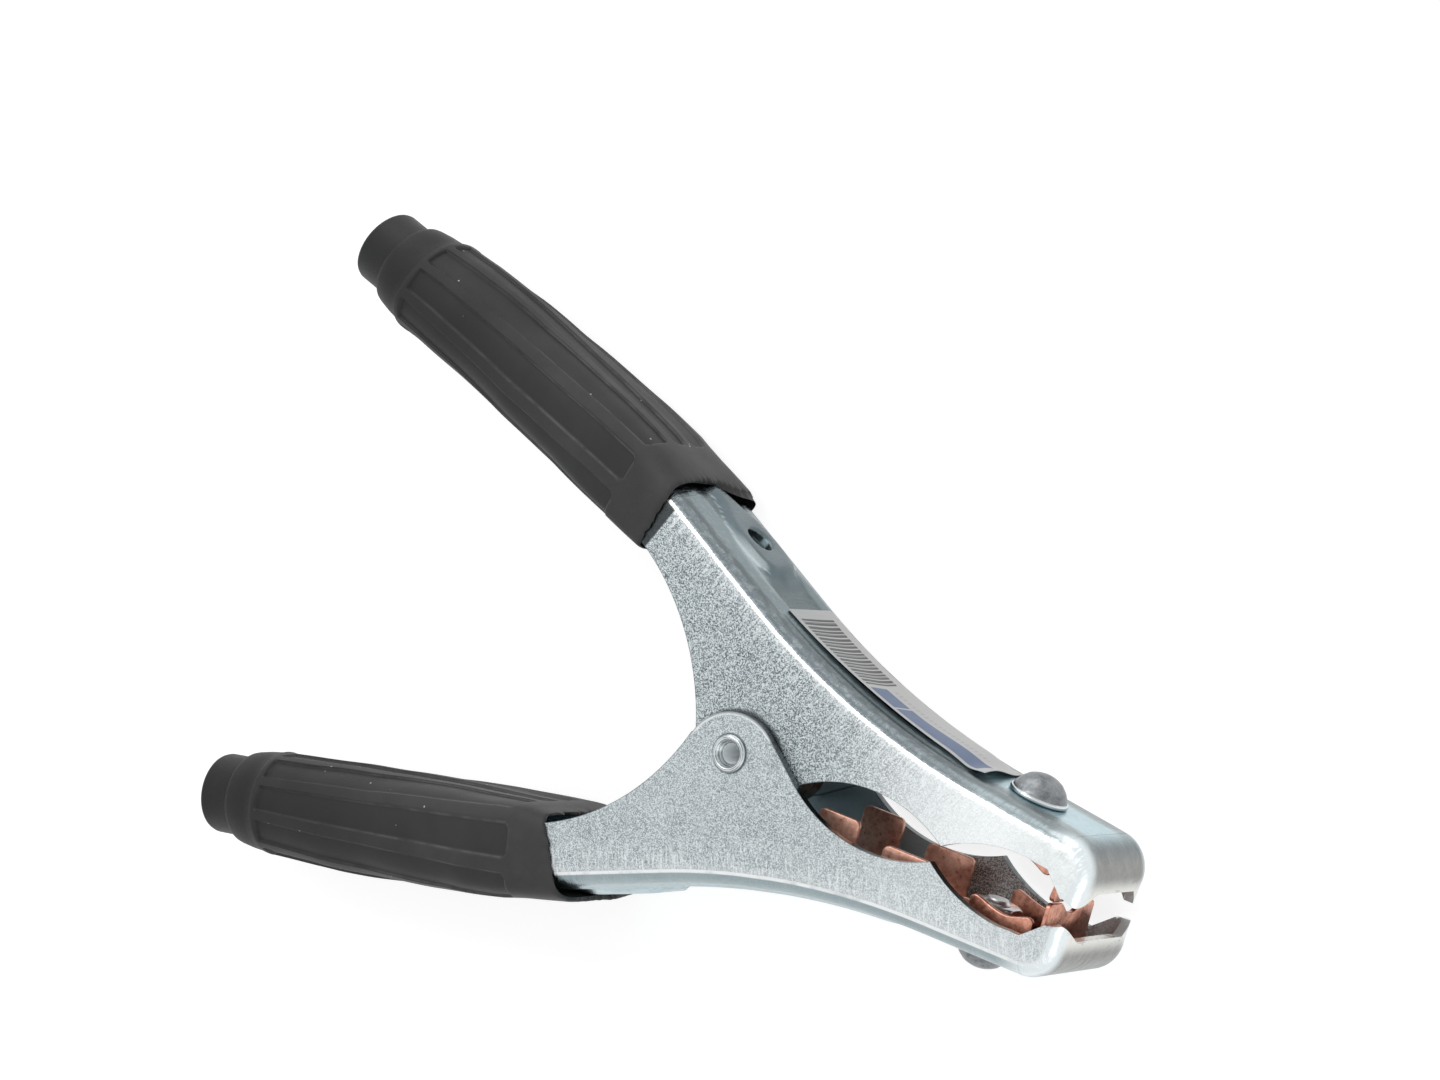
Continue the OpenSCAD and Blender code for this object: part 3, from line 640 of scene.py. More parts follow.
# Pivot rivet ----------------------------------
# A hollow rivet of bright zinc plated steel. Its two ends are rolled outwards over the plates
# of the outer arm, and the bore stays open from side to side.
BORE_R, SHANK_R, HALF_LEN = 2.1, 3.0, 17.2
rolled_end = [(BORE_R, 15.9), (2.25, 16.3), (2.6, 16.95), (2.95, 17.6), (3.12, 17.95), (3.3, 18.15),
              (3.6, 18.18), (3.9, 18.0), (4.12, 17.75), (4.2, 17.5), (4.15, 17.25), (SHANK_R, HALF_LEN)]
rivet_profile = rolled_end + [(r, -h) for r, h in reversed(rolled_end)]
rivet = lathe("hollow_rivet", rivet_profile, pivot, (0, 0, 1), 72)
settled(rivet, 50)
f = Finish("rivet_zinc", Metallic=1.0)
bore_r = f.length(f.joined(f.mm("X"), f.mm("Y")))
# Painted light: the bore is near white and mostly not metallic, for the light seen through it.
bore = 1 - f.step(bore_r, 2.2, 2.4)
turning = f.step((bore_r * 2.6).modulo(1), 0.3, 0.55)
rolled = f.layered(
    (0.22, 0.245, 0.255),
    (turning, (0.6, 0.64, 0.655)),
    (f.step(f.grain(500, 3, 0.6), 0.4, 0.62) * 0.4, (0.8, 0.83, 0.84)),
    (bore, (0.9, 0.93, 0.94)))
rivet.data.materials.append(f.set(Base_Color=rolled, Roughness=0.27 + 0.2 * bore, Metallic=1 - 0.85 * bore))
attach(rivet, "outer")
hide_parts("pivot_rivet")


# Torsion spring -------------------------------
# Round spring wire wound in four and a part turns round the rivet, dark with oil. Its two
# straight legs press the handles apart.
WIRE, COIL_R, PITCH, TURNS = 3.2, 10.2, 4.0, 4
LEG_PLAY, LEG_END_X = 0.25, -46


def spring_route():
    """Points along the wire, in mm from the pivot: one leg, the coil and the other leg."""
    centre, start, _, turn_side = bend(1)
    back = centre + (KNUCKLE_R + turn_side * (SHEET + LEG_PLAY + WIRE / 2)) * turned(start)
    tip = back + (back[0] - LEG_END_X) * turned(pi - HANDLE_SLOPE) / cos(HANDLE_SLOPE)
    leg = heading((0, 0), tip) - acos(COIL_R / np.linalg.norm(tip))
    sweep = 2 * pi * (TURNS + 1) - 2 * leg
    rise = PITCH * sweep / (2 * pi)
    steps = 40 * (TURNS + 1)
    first, last = Vector((tip[0], tip[1], -rise / 2)), Vector((tip[0], -tip[1], rise / 2))
    coil = [Vector((*(COIL_R * turned(leg + sweep * k / steps)), rise * (k / steps - 0.5)))
            for k in range(steps + 1)]
    lead_in = [first.lerp(coil[0], k / 10) for k in range(10)]
    return lead_in + coil + [coil[-1].lerp(last, k / 10) for k in range(1, 11)]


def tube(name, route_points, radius, sides=20):
    """A round wire along the points, its two ends a little narrower."""
    mesh = bmesh.new()
    rings = []
    final = len(route_points) - 1
    for k, p in enumerate(route_points):
        d = (route_points[min(k + 1, final)] - route_points[max(k - 1, 0)]).normalized()
        u = Vector((0, 0, 1)).cross(d).normalized()
        v = d.cross(u)
        ends = {0: [(0.75, -0.35), (1, 0)], final: [(1, 0), (0.75, 0.35)]}.get(k, [(1, 0)])
        for scale, shift in ends:
            turns = (turned(2 * pi * j / sides) for j in range(sides))
            rings.append([mesh.verts.new(pivot + (p + d * shift + radius * scale * (
                float(c) * u + float(s) * v)) / 1000) for c, s in turns])
    skinned(mesh, rings, capped=True)
    return settled(linked(name, mesh), 50)


wire = spring_route()
spring = tube("wound_spring", wire, WIRE / 2)
f = Finish("oiled_spring_steel", Metallic=1.0)
drawn = f.grain(700, 3, 0.6)
patch = f.grain(160, 3, 0.6)
oiled = f.mixed(f.step(patch, 0.35, 0.65), (0.2, 0.185, 0.175), (0.4, 0.375, 0.36))
f.relief(drawn, 0.00004, 0.5)
spring.data.materials.append(f.set(Base_Color=oiled, Roughness=0.26 + 0.2 * drawn))
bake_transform(spring)
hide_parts("torsion_spring")


# Contact trays --------------------------------
# Two trays folded from 1.2 mm copper plated strip, one under each jaw. Round-cornered tabs and
# a saddle stand up from the sides, and the front wall rises to two peaks.
COPPER, TRAY_W, TRAY_FRONT, TRAY_REAR = 1.2, 20.5, 17.0, 43.0
TAB_R, WALL_R = 1.5, 1.2
TABS = (-42.2, -31.6), (-24.6, -12.4)


def to_centre_line(x):
    """Depth of the clamp's centre line under the jaw's back, x ahead of the bolt."""
    return (jaw_back(BOLT_X) - x * sin(JAW_SLOPE)) / cos(JAW_SLOPE)


def slab(mesh, outline, to_space, thickness):
    """A plate of the given outline, in mm, from its face to thickness behind it."""
    front = [mesh.verts.new(to_space(x, y, 0)) for x, y in outline]
    back = [mesh.verts.new(to_space(x, y, thickness)) for x, y in outline]
    mesh.faces.new(front)
    mesh.faces.new(list(reversed(back)))
    n = len(outline)
    for k in range(n):
        mesh.faces.new((front[k], back[k], back[(k + 1) % n], front[(k + 1) % n]))


def bolt_frame(side):
    """The foot of the contact bolt, and its directions along the jaw and out of the back."""
    foot = own(BOLT_X, jaw_back(BOLT_X), 0, side)
    ahead = Vector((cos(JAW_SLOPE), -side * sin(JAW_SLOPE), 0))
    out = Vector((sin(JAW_SLOPE), side * cos(JAW_SLOPE), 0))
    return foot, ahead, out


def folded_tray(name, side):
    foot, ahead, out = bolt_frame(side)
    floor = -SHEET - COPPER
    back, low = floor + COPPER, floor - 2.4
    half = TRAY_W / 2
    mesh = bmesh.new()

    def spot(x, y, z):
        return foot + (ahead * x + out * y + Vector((0, 0, z))) / 1000

    inner, front = half - 0.6, TRAY_FRONT - 0.6
    slab(mesh, [(-TRAY_REAR, -inner), (front, -inner), (front, inner), (-TRAY_REAR, inner)],
         lambda x, z, t: spot(x, floor + t, z), COPPER)
    outlines = []
    for (start, end), reach in zip(TABS, (2.9, 4.1) if side < 0 else (7.4, 5.2)):
        top = -to_centre_line((start + end) / 2) + reach
        outlines.append([(start, back), *arc([start + TAB_R, top + TAB_R], TAB_R, 180, 270, 6),
                         *arc([end - TAB_R, top + TAB_R], TAB_R, 270, 360, 6), (end, back)])
    saddle = [(-1.6, 6.2), (-0.8, 5.45), (-0.1, 5.35), (1.2, 5.62), (2.6, 6.0), (4.5, 6.42), (6.4, 6.66),
              (8, 6.55), (9.5, 6.1), (11.2, 5.4), (12.6, 4.9), (13.4, 5.0), (14, 5.6)]
    rear_drop = 1.4 if side > 0 else 0.0
    saddle = [(x, y + rear_drop * ease((5 - x) / 4) - to_centre_line(x)) for x, y in saddle]
    outlines.append([(-1.6, back), *saddle, (14, back)])
    outlines.append([(-TRAY_REAR, low), (TRAY_FRONT, low), (TRAY_FRONT, back), (-TRAY_REAR, back)])
    for outline in outlines:
        slab(mesh, outline, lambda x, y, t: spot(x, y, half - t), COPPER)
        slab(mesh, outline, lambda x, y, t: spot(x, y, t - half), COPPER)
    peak = -to_centre_line(TRAY_FRONT) + 0.15
    wall = [(-half, back)] + arc([-half + WALL_R, peak + WALL_R], WALL_R, 180, 270, 6)
    wall += [(z, peak + 2.3 * ease((5.4 - abs(z)) / 4.6)) for z in [-5.2 + 0.4 * k for k in range(27)]]
    wall += arc([half - WALL_R, peak + WALL_R], WALL_R, 270, 360, 6) + [(half, back)]
    slab(mesh, wall, lambda z, y, t: spot(TRAY_FRONT - t, y, z), COPPER)
    piece = linked(name, mesh)
    eased_edges(piece, 0.28, 3, 50)
    return settled(piece, 35)


def copper_plating():
    f = Finish("copper_plating", Metallic=1.0)
    mottle, dull = f.grain(900, 3, 0.65), f.grain(110, 3, 0.6)
    # rubbed streaks, partly wear and partly painted sheen
    rubbed_sheen = f.step(f.grain(260, 4, 0.6, stretch=(1, 1, 3)), 0.55, 0.75)
    # painted light: behind the front the trays lie in the plates' shade and are painted paler and less
    # metallic
    front = f.step(f.mm("X"), 52, 60)
    patchy = f.step(mottle, 0.36, 0.64)
    worn = f.layered(
        f.mixed(patchy, (0.74, 0.38, 0.28), (1, 0.6, 0.46)),
        (front * 0.85, f.mixed(patchy, (0.48, 0.2, 0.14), (0.8, 0.385, 0.275))),
        (f.step(dull, 0.35, 0.65) * 0.35, (0.5, 0.225, 0.16)),
        (rubbed_sheen * 0.3, (1, 0.66, 0.52)))
    f.relief(mottle * 0.7 + dull, 0.00006, 0.7)
    return f.set(Base_Color=worn, Roughness=0.22 + 0.16 * mottle, Metallic=0.6 + 0.35 * front)


copper = copper_plating()
for name, side, node, body in (
        ("outer_tray", -1, "outer_contact", "outer"), ("inner_tray", 1, "inner_contact", "inner")):
    tray = folded_tray(name, side)
    tray.data.materials.append(copper)
    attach(tray, body)
    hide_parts(node)


# Contact bolts, lock washers and nuts ---------
# A domed M6 bolt through the back of each jaw holds its tray, with a split washer and a
# hexagon nut inside. The heads are matt zinc with a rolled rim.
HEAD_R, HEAD_H, RIM, WASHER, NUT_H = 6.6, 5.4, 1.0, 1.4, 4.6
THREAD_R, NUT_FLAT = 3.0, 5.0
NUT_TOP = -(SHEET + COPPER + WASHER + NUT_H)


def bright_zinc(name, colour):
    f = Finish(name, Metallic=1.0)
    worn, dull = f.grain(900, 3, 0.6), f.grain(140, 2, 0.5)
    f.relief(worn, 0.00003, 0.5)
    darker = tuple(c * 0.82 for c in colour)
    return f.set(Base_Color=f.mixed(f.step(worn, 0.35, 0.7), darker, colour), Roughness=0.20 + 0.16 * dull)


def matt_zinc():
    f = Finish("matt_zinc", Metallic=1.0)
    cast, cloud = f.grain(1100, 3, 0.65), f.grain(150, 2, 0.5)
    f.relief(cast, 0.00006, 0.7)
    ahead, out = f.mm("X") - BOLT_X, f.mm("Y").size() - jaw_back(BOLT_X)
    height = ahead * sin(JAW_SLOPE) + out * cos(JAW_SLOPE)
    brushed = f.step(f.grain(260, 3, 0.6, stretch=(4, 1, 1)), 0.38, 0.62)
    dome = f.layered(
        (0.135, 0.145, 0.155),
        (f.step(cast * 0.6 + cloud * 0.4, 0.36, 0.64), (0.26, 0.275, 0.285)),
        (brushed * 0.3, (0.34, 0.355, 0.365)))
    lit = f.between(height, 0.62, 0.8, 1.02, 1.2)
    head = f.layered(
        (0.26, 0.32, 0.34),
        (f.step(cloud, 0.35, 0.65), (0.36, 0.43, 0.45)),
        (f.step(height, 0.7, 1), dome),
        (lit * 0.85, (0.78, 0.81, 0.82)),
        (1 - f.step(height, -0.4, -0.2), (0.74, 0.75, 0.75)))
    return f.set(Base_Color=head, Roughness=0.30 + 0.12 * cast - 0.1 * lit)


def thread_profile(bottom, top, r):
    """A V thread as a stack of ridges, from bottom up to top."""
    points = []
    height = bottom
    while height < top - 1:
        points += [(r - 0.55, height), (r - 0.02, height + 0.42),
                   (r - 0.02, height + 0.55), (r - 0.55, height + 0.97)]
        height += 1.0
    return points


def contact_bolt(name, side):
    foot, _, out = bolt_frame(side)
    rise = HEAD_H - RIM
    dome_r = (HEAD_R ** 2 + rise ** 2) / (2 * rise)
    first = asin((RIM + dome_r - HEAD_H) / dome_r)
    dome = arc([0, HEAD_H - dome_r], dome_r, degrees(first), 90, 14)[1:14]
    profile = [(0, NUT_TOP - 1), (2.3, NUT_TOP - 1)] + thread_profile(NUT_TOP - 0.6, -1, THREAD_R)
    profile += [(THREAD_R, 0.02), (HEAD_R - 0.35, 0.02), (HEAD_R, 0.3), (HEAD_R, RIM - 0.3)]
    profile += [(HEAD_R - 0.12, RIM - 0.05), (HEAD_R - 0.3, RIM + 0.02), (HEAD_R - 0.42, RIM - 0.06)]
    profile += [(r - 0.28, h) for r, h in dome[:3]]
    profile += [(r - 0.16, h) for r, h in dome[3:6]] + dome[6:] + [(0, HEAD_H)]
    return settled(lathe(name, profile, foot, out, 72), 32)


def round_bolt(side):
    """Turns (radius, angle, height) at the contact bolt into the part's frame."""
    foot, ahead, out = bolt_frame(side)
    across = out.cross(ahead)
    return lambda r, a, h: foot + (out * h + (ahead * cos(a) + across * sin(a)) * r) / 1000


def hexagon_nut(name, side):
    """Six flats round a hole, with the corners cut back on the face that shows."""
    place = round_bolt(side)
    corner_r = NUT_FLAT / cos(radians(30))
    levels = [(0, THREAD_R), (0, 3.5), (0, 4.9)]
    levels += [(0.1 + 0.11 * k, NUT_FLAT + (corner_r - NUT_FLAT) * (k + 1) / 5) for k in range(5)]
    levels += [(NUT_H - 0.55, corner_r), (NUT_H - 0.05, 5.05), (NUT_H, 4.9), (NUT_H, THREAD_R)]
    mesh = bmesh.new()
    rings = []
    for height, limit in levels:
        ring = []
        for k in range(72):
            wedge = radians(5 * k + 30) % radians(60) - radians(30)
            r = min(NUT_FLAT / cos(wedge), limit)
            ring.append(mesh.verts.new(place(r, radians(5 * k), NUT_TOP + height)))
        rings.append(ring)
    skinned(mesh, rings + rings[:1])
    return settled(linked(name, mesh), 30)


def split_washer(name, side):
    """One turn of square wire, open by a few degrees, with its ends sprung apart."""
    place = round_bolt(side)
    top = WASHER - 0.05
    section = [(3.25, 0.1), (3.35, 0), (5.2, 0), (5.3, 0.1), (5.3, top - 0.1), (5.2, top),
               (3.35, top), (3.25, top - 0.1)]
    mesh = bmesh.new()
    rings = []
    for k in range(81):
        a, twist = radians(143 + 354 * k / 80), 0.12 * (k / 80 - 0.5)
        rings.append([mesh.verts.new(place(r, a, -SHEET - COPPER - h + twist * (h > 0.7)))
                      for r, h in section])
    skinned(mesh, rings, capped=True)
    return settled(linked(name, mesh), 35)


head_finish = matt_zinc()
nut_finish = bright_zinc("nut_zinc", (0.72, 0.74, 0.75))
for body, side in (("outer", -1), ("inner", 1)):
    for kind, make, finish, slot in (
            ("contact_bolt", contact_bolt, head_finish, "bolt_steel"),
            ("contact_nut", hexagon_nut, nut_finish, "rivet_steel"),
            ("lock_washer", split_washer, nut_finish, "zinc_steel")):
        piece = make(f"{body}_{kind}_piece", side)
        piece.data.materials.append(finish)
        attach(piece, body)
        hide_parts(f"{body}_{kind}")


# Grips ----------------------------------------
# Moulded rubber sleeves pushed over the handles, square at the mouth and round at the nozzle.
# Ten long panels are sunk round each. The mouth's lip is thin and uneven: it leans to the jaw
# over the back, but the inner sleeve's is square on its near side.
BODY_LEN, COLLAR_LEN, NOZZLE_LEN = 87.0, 9.5, 9.0
MOUTH, PANEL_DEPTH, CABLE_R, AXIS_DEPTH, LEAN = -6.5, 0.7, 6.5, 7.0, 0.3
GRIP_LEN = BODY_LEN + COLLAR_LEN + NOZZLE_LEN
axis_foot = knuckle + AXIS_DEPTH * inward


def rubber():
    f = Finish("moulded_rubber", IOR=1.45, Specular_IOR_Level=0.38)
    skin_grain, cloud = f.grain(1400, 3, 0.7), f.grain(45, 4, 0.6)
    spots = {"Vector": f.place(), "Scale": 300.0, "Randomness": 1.0}
    dust = f.node("TexVoronoi", spots, out="Distance", feature="F1")
    specks = (1 - f.step(dust, 0.05, 0.09)) * f.step(f.grain(190, 1, 0.4), 0.58, 0.62)
    bloom = f.step(cloud, 0.38, 0.68)
    # The sunk attribute carries a painted highlight on the panels' edges, painted shade in the sunk panels,
    # and a darkening towards the collar and nozzle.
    sunk = f.attribute("sunk", "Color")
    rim, hollow, dark = (f.axis(sunk, name) for name in "XYZ")
    base = f.layered(
        (0.033, 0.0335, 0.035),
        (bloom, (0.05, 0.0495, 0.0495)),
        (f.step(skin_grain, 0.45, 0.8) * 0.3, (0.06, 0.058, 0.056)),
        (hollow * 0.6, (0.0165, 0.0172, 0.019)),
        (rim * f.step(f.grain(160, 3, 0.6), 0.3, 0.62) * 0.6, (0.155, 0.15, 0.145)),
        (dark, (0.003, 0.0033, 0.004)),
        (specks, (0.55, 0.54, 0.52)))
    f.relief(skin_grain * 0.6 + cloud, 0.00010, 0.6)
    return f.set(Base_Color=base, Roughness=0.50 + 0.12 * skin_grain - 0.06 * bloom)


def squircle(c, s, height, width, power):
    """Radius, towards (c, s), of a rounded box that reaches height and width from its middle."""
    return 1 / (abs(c / height) ** power + abs(s / width) ** power) ** (1 / power)


def grip_mesh(name, w, side, slide, phase, seed):
    """One sleeve, closed: its outside from the mouth to the nozzle, the bore and the hollow."""
    table_h = ([MOUTH, 4, 10, 26, 44, 64, BODY_LEN], [9.5, 10.6, 11.3, 12.0, 12.6, 13.2, 12.6])
    inner_h = ([MOUTH, 4, 26, 48, 64, BODY_LEN],
               [10.2, 10.7, 10.7, 11.3, 11.9, 12.4] if side > 0 else [10.3, 11.5, 12.7, 13.2, 13.0, 12.5])
    arch = ([MOUTH, 4, 20, 55, 76, BODY_LEN, GRIP_LEN],
            [0, -0.4, -0.8, -0.9, -0.5, 0.2, 0.75] if side > 0 else [0, -0.1, -0.4, -0.5, -0.4, -0.2, 0])
    table_w = ([MOUTH, 8, 44, BODY_LEN], [w / 2 + 0.9, w / 2 + 1.0, 16.3, 13.3])
    table_q = ([MOUTH, 10, 26, 50, BODY_LEN], [4.6, 4.8, 3.6, 2.7, 2.2])
    inner_q = ([MOUTH, 10, 26, 50, BODY_LEN], [8, 7, 4.4, 2.7, 2.2])
    circle = [(a, cos(a), sin(a)) for a in (2 * pi * k / 320 for k in range(320))]

    def panel(a, x):
        """How far into a sunk panel angle a and distance x are: round at the mouth, square behind."""
        share = ((degrees(a) - phase + 18) % 36) - 18
        arc_mm = abs(share) / 18 * 4.6
        end = x - 5.4
        half = 3.2 if end > 2 else 1.2 + sqrt(max(0.0, 4 - (2 - max(0.0, end)) ** 2))
        return ease((half + 0.25 - arc_mm) / 0.5) * ease(end / 0.6) * ease((85.0 - x) / 0.6)

    def outline(x, c, s):
        tables = (inner_h, table_w, inner_q) if c > 0 else (table_h, table_w, table_q)
        return squircle(c, s, *(float(np.interp(x, *t)) for t in tables))

    def squared(s):
        """1 where the lip is square, 0 where it leans to the jaw."""
        return ease((s + 0.75) / 0.9) if side > 0 else 0.0

    stations = [MOUTH, MOUTH + 0.15, MOUTH + 0.6, MOUTH + 1.3, MOUTH + 2.4]
    stations += [MOUTH + 3.4 + k * 1.3 for k in range(7)] + [5.3 + 0.3 * k for k in range(10)]
    stations += [10.0 + k * 2.2 for k in range(32)] + [80.4, 82.0]
    stations += [83.0 + 0.3 * k for k in range(10)] + [BODY_LEN - 0.7]
    loops, marks = [], []
    for i, x in enumerate(stations):
        rise = float(np.interp(x, *arch))
        loop = []
        for a, c, s in circle:
            r = outline(x, c, s)
            ragged = 0.0
            if x < MOUTH + 3:
                tear = 0.5 * noise.noise(Vector((3 * c, 3 * s, seed)))
                tear += 0.55 * noise.noise(Vector((11 * c, 11 * s, seed + 4.0)))
                ragged = tear * (0.6 + 1.3 * abs(c)) * (1 - (x - MOUTH) / 3)
                r -= (0.55, 0.25, 0.05, 0, 0)[i]
            sag = 0.25 * noise.noise(Vector((x / 14, c * 1.3, s * 1.3 + seed)))
            sunk = panel(a, x)
            r += sag - PANEL_DEPTH * sunk
            # per vertex: painted highlight on the panel's edge, painted shade in the panel, and darker
            # towards the nozzle
            marks.append((4 * sunk * (1 - sunk), sunk, 0.7 * ease((x - 25) / 45), 1.0))
            lean = LEAN * r * c * (1 - squared(s)) * max(0.0, 1 - (x - MOUTH) / 9)
            loop.append((x + ragged + lean, r * c + rise, r * s))
        loops.append(loop)
    collar = [(0, 12.35), (0.5, 12.1), (2.5, 11.9), (5, 11.65), (8, 11.15), (8.9, 10.9), (9.3, 10.55),
              (9.5, 10.1), (9.55, 9.55), (9.9, 9.4)]
    nozzle = [(0.9, 9.4), (0.35, 9.22), (0.08, 8.9), (0, 8.5), (0, 6.9), (0.3, CABLE_R)]
    turned_end = [(BODY_LEN + x, r) for x, r in collar] + [(GRIP_LEN - x, r) for x, r in nozzle]
    for x, radius in turned_end + [(78, CABLE_R), (76.5, CABLE_R)]:
        radius += 0.35 * (radius > 8) * (side < 0)
        rise = float(np.interp(x, *arch))
        marks += [(0.0, 0.0, 1.0, 1.0)] * len(circle)
        loops.append([(x, radius * c + rise, radius * s) for a, c, s in circle])
    hollow = [(76.2, 19, 0, 0), (29.5, 22, 0, 0), (5.2, w, 0, 0), (0, w, 0.5, 0.6),
              (MOUTH + 1.6, w, 1.2, 1.4), (MOUTH + 0.3, w + 0.6, 2.0, 2.1)]
    for x, width, lift, drop in hollow:
        loop = []
        for a, c, s in circle:
            r = squircle(c, s, 7.8 + (drop if c > 0 else lift), width / 2 + 0.3, 12)
            r = min(r, outline(x, c, s) - (0.5 if x > MOUTH + 1 else 0.75))
            lean = 0.0
            if x < 0:
                lean = LEAN * r * c * (1 - squared(s)) + slide * (0.45 + 0.55 * squared(s))
            loop.append((x - slide + lean, (0.5 if x < 70 else 0.0) + r * c, r * s))
        loops.append(loop)

    mesh = bmesh.new()
    direction = turned(pi - HANDLE_SLOPE)
    rings = []
    for loop in loops:
        places = [(*(axis_foot + (x + slide) * direction + y * inward), z) for x, y, z in loop]
        rings.append([mesh.verts.new(own(*place, side)) for place in places])
    skinned(mesh, rings + rings[:1])
    piece = linked(name, mesh)
    marks += [(0.0, 0.0, 0.0, 1.0)] * (len(piece.data.vertices) - len(marks))
    layer = piece.data.color_attributes.new("sunk", "FLOAT_COLOR", "POINT")
    layer.data.foreach_set("color", np.array(marks).ravel())
    return settled(piece, 50)


black_rubber = rubber()
for name, w, side, slide, phase, seed, node, body in (
        ("outer_sleeve", OUTER_W, -1, 0, 9, 3, "outer_grip", "outer"),
        ("inner_sleeve", INNER_W, 1, 4, 27, 8, "inner_grip", "inner")):
    sleeve = grip_mesh(name, w, side, slide, phase, seed)
    sleeve.data.materials.append(black_rubber)
    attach(sleeve, body)
    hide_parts(node)


# Sticker --------------------------------------
# A printed film laid over the gutter of the inner arm's back: plain bars and a blue band on
# pale stock. Its near edge bridges the hollow of the waist and its front end has lifted.
LABEL_HALF, LABEL_START, LABEL_LEN = 9.6, -2.6, 58.4


def sticker_mesh():
    """The film as a grid that bridges, dips and curls away from the back it lies on."""
    line = [s for s in back_line() if -8 < s[0][0] < 62]
    xs = [s[0][0] for s in line]
    mesh = bmesh.new()
    uv = mesh.loops.layers.uv.new("print")
    rows, columns = 72, 24
    grid = []
    for i in range(rows + 1):
        x = LABEL_START + LABEL_LEN * i / rows
        y = float(np.interp(x, xs, [s[0][1] for s in line]))
        n = np.array([float(np.interp(x, xs, [s[1][k] for s in line])) for k in (0, 1)])
        row = []
        for j in range(columns + 1):
            across = 1 - 2 * j / columns
            bridging = 0.5 * sin(pi * min(1, max(0, (x + 3) / 56))) * ease((across + 0.35) / 1.1)
            dip = -0.38 * (1 - across ** 2) * ease((x + 3) / 8) * ease((44 - x) / 12)
            curl = 1.7 * ease((x - 50) / 6) ** 1.5 * (0.6 + 0.4 * cos(2.6 * (across - 0.55)))
            far = -0.5 * ease((-across - 0.8) / 0.2)
            q = np.array([x, y]) - (crown_at(x) + 0.12 + bridging + dip + curl + far) * n
            row.append(mesh.verts.new(own(q[0], q[1], LABEL_HALF * across, 1)))
        grid.append(row)
    for i in range(rows):
        for j in range(columns):
            corners = (i, j), (i, j + 1), (i + 1, j + 1), (i + 1, j)
            face = mesh.faces.new([grid[r][c] for r, c in corners])
            for loop, (r, c) in zip(face.loops, corners):
                loop[uv].uv = (r / rows, c / columns)
    piece = linked("sticker", mesh)
    modifier = piece.modifiers.new("film", "SOLIDIFY")
    modifier.thickness = 0.00014
    modifier.offset = 0
    return settled(piece, 60)


def printed_film():
    f = Finish("printed_film", IOR=1.45, Coat_Weight=0.12, Coat_Roughness=0.2)
    spot = f.node("UVMap", {}, uv_map="print")
    u, v = f.axis(spot, "X"), f.axis(spot, "Y")
    paper_grain = f.grain(500, 2, 0.5)

    def band(value, low, high, soft=0.004):
        return f.between(value, low - soft, low + soft, high - soft, high + soft)

    wide = f.step((u * 52).modulo(1), 0.44, 0.52)
    narrow = f.step((u * 87 + 0.3).modulo(1), 0.66, 0.78)
    bars = wide.most(narrow) * band(u, 0.045, 0.405) * band(v, 0.075, 0.80)
    blue = band(u, 0.425, 0.955) * band(v, 0.07, 0.47) * (1 - band(u, 0.547, 0.556, 0.002))
    small_rows = band((u * 46).modulo(1.0), 0.2, 0.75, 0.05) * band(u, 0.44, 0.90) * band(v, 0.58, 0.66)
    ink = f.layered(
        (0.6, 0.615, 0.62),
        (paper_grain, (0.66, 0.675, 0.68)),
        # painted light: the stock is paler towards its far edge
        (f.step(v, 0.1, 0.9), (0.7, 0.7, 0.69)),
        (bars * 0.95, (0.045, 0.045, 0.05)),
        (blue * 0.95, (0.062, 0.125, 0.28)),
        (small_rows * 0.35, (0.35, 0.35, 0.37)))
    f.relief(f.grain(90, 2, 0.5), 0.0004, 0.25)
    return f.set(Base_Color=ink, Roughness=0.42 + 0.12 * paper_grain)


sticker = sticker_mesh()
sticker.data.materials.append(printed_film())
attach(sticker, "inner")
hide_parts("label")


# Floor, lamps and camera ----------------------
# A pale studio floor that the clamp lies on, two soft boxes over its back edge, a weaker one in
# front of the jaws, and a long lens looking down on it from the jaws' side.
def pale_floor():
    f = Finish("pale_floor", Roughness=0.9, Base_Color=(0.45, 0.45, 0.45), Specular_IOR_Level=0.0)
    seen, mirrored, through = (
        f.node("LightPath", {}, out=f"Is {ray} Ray") for ray in ("Camera", "Glossy", "Transmission"))
    strength = 0.80 * seen.most(mirrored).most(through)
    glow = f.node("Emission", {"Color": (1.0, 1.0, 1.0), "Strength": strength})
    total = f.node("AddShader", {0: Value(f.shader.outputs[0]), 1: glow})
    feed(f.tree.nodes["Material Output"].inputs["Surface"], total)
    return f.material


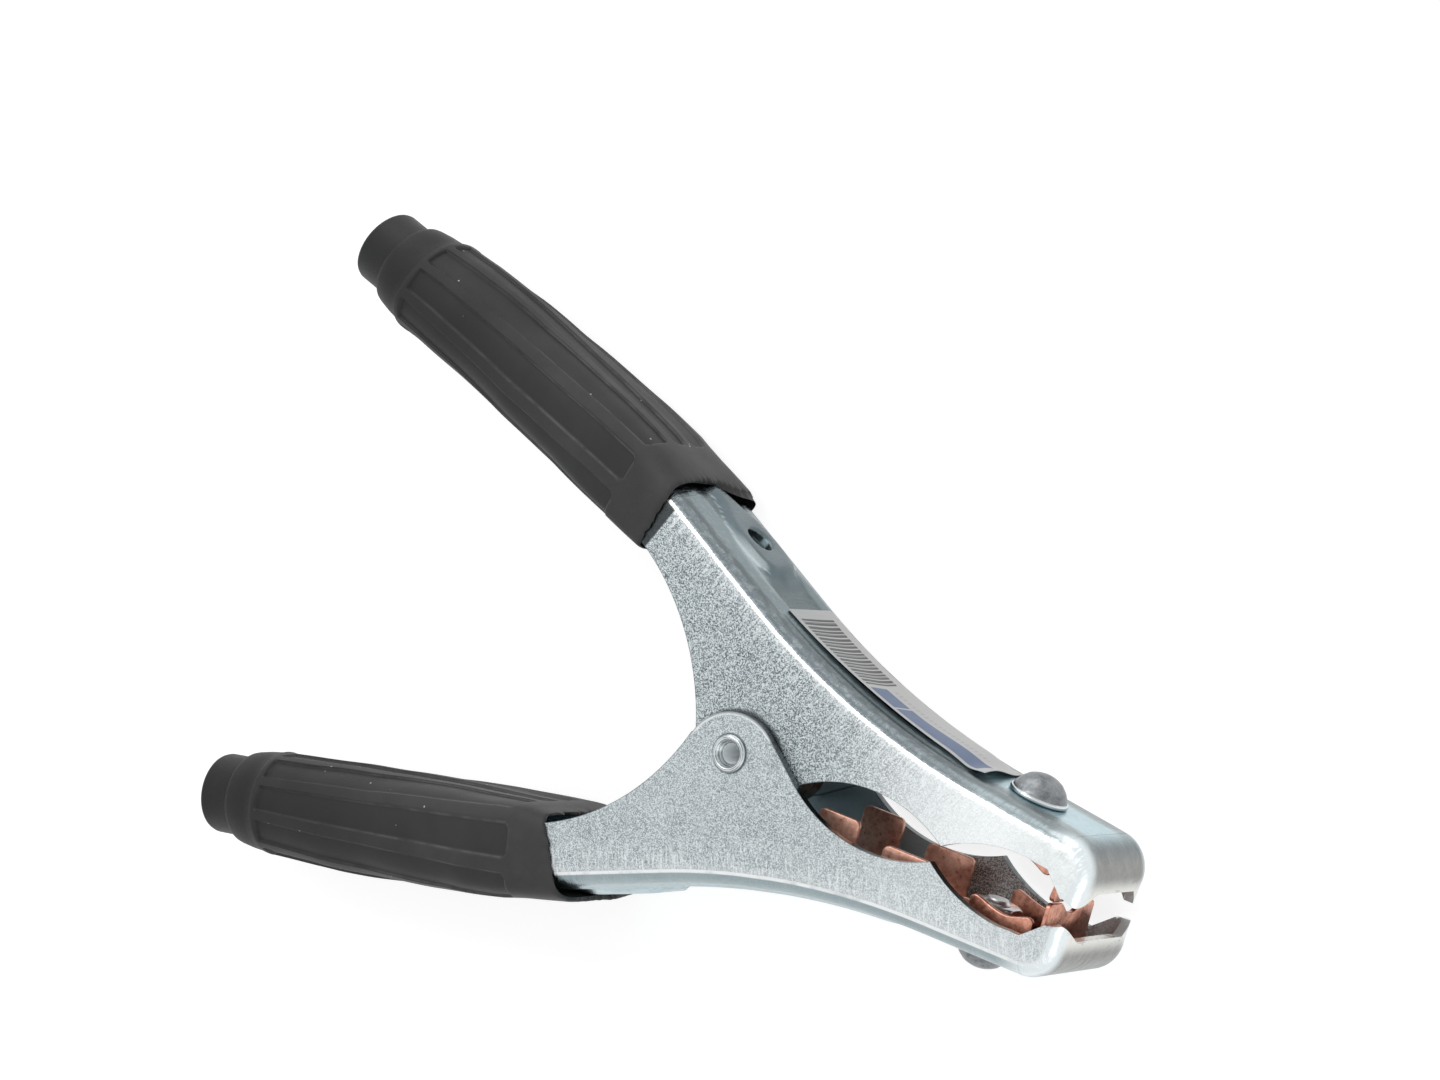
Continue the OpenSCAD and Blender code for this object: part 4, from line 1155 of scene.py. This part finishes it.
floor_data = bpy.data.meshes.new("studio_floor")
floor_data.from_pydata([(-3, -3, 0), (3, -3, 0), (3, 3, 0), (-3, 3, 0)], [], [(0, 1, 2, 3)])
floor = bpy.data.objects.new("studio_floor", floor_data)
bpy.context.scene.collection.objects.link(floor)
floor_data.materials.append(pale_floor())

world = bpy.data.worlds.new("studio")
world.use_nodes = True
bpy.context.scene.world = world
sky = world.node_tree.nodes["Background"]
light_path = world.node_tree.nodes.new("ShaderNodeLightPath")
seen, mirrored, through = (
    Value(light_path.outputs[f"Is {ray} Ray"]) for ray in ("Camera", "Glossy", "Transmission"))
sky.inputs["Color"].default_value = (1, 1, 1, 1)
feed(sky.inputs["Strength"], seen.most(through).most(mirrored).most(0.5))


def soft_box(name, offset, width, height, watts):
    """A rectangular lamp at an offset from the pivot, facing it."""
    lamp = bpy.data.lights.new(name, "AREA")
    lamp.shape = "RECTANGLE"
    lamp.size, lamp.size_y, lamp.energy = width, height, watts
    holder = bpy.data.objects.new(name, lamp)
    bpy.context.scene.collection.objects.link(holder)
    place = pivot + Vector(offset)
    holder.location = place
    holder.rotation_euler = (pivot - place).to_track_quat("-Z", "Y").to_euler()


soft_box("overhead", (-0.42, 0.80, 0.22), 0.9, 0.6, 2.2)
soft_box("top", (-0.38, 0.46, 0.88), 0.7, 0.22, 2.2)
soft_box("front", (0.9, -0.25, 0.45), 0.6, 0.5, 0.7)

lens = bpy.data.cameras.new("long_lens")
lens.sensor_width = 36
lens.lens = 84.73
viewer = bpy.data.objects.new("long_lens", lens)
bpy.context.scene.collection.objects.link(viewer)
right = Vector((0.778122784, 0.318502919, -0.541369396))
down = Vector((0.354044906, -0.934337161, -0.0408200107))
ahead = Vector((-0.518822838, -0.159906097, -0.839793369))
stand = pivot + Vector((0.3651697, 0.1609243, 0.6406083))
viewer.matrix_world = Matrix.LocRotScale(stand, Matrix((right, -down, -ahead)).transposed(), None)
lens.clip_start = 0.01
bpy.context.scene.camera = viewer
bpy.context.scene.view_settings.view_transform = "Standard"
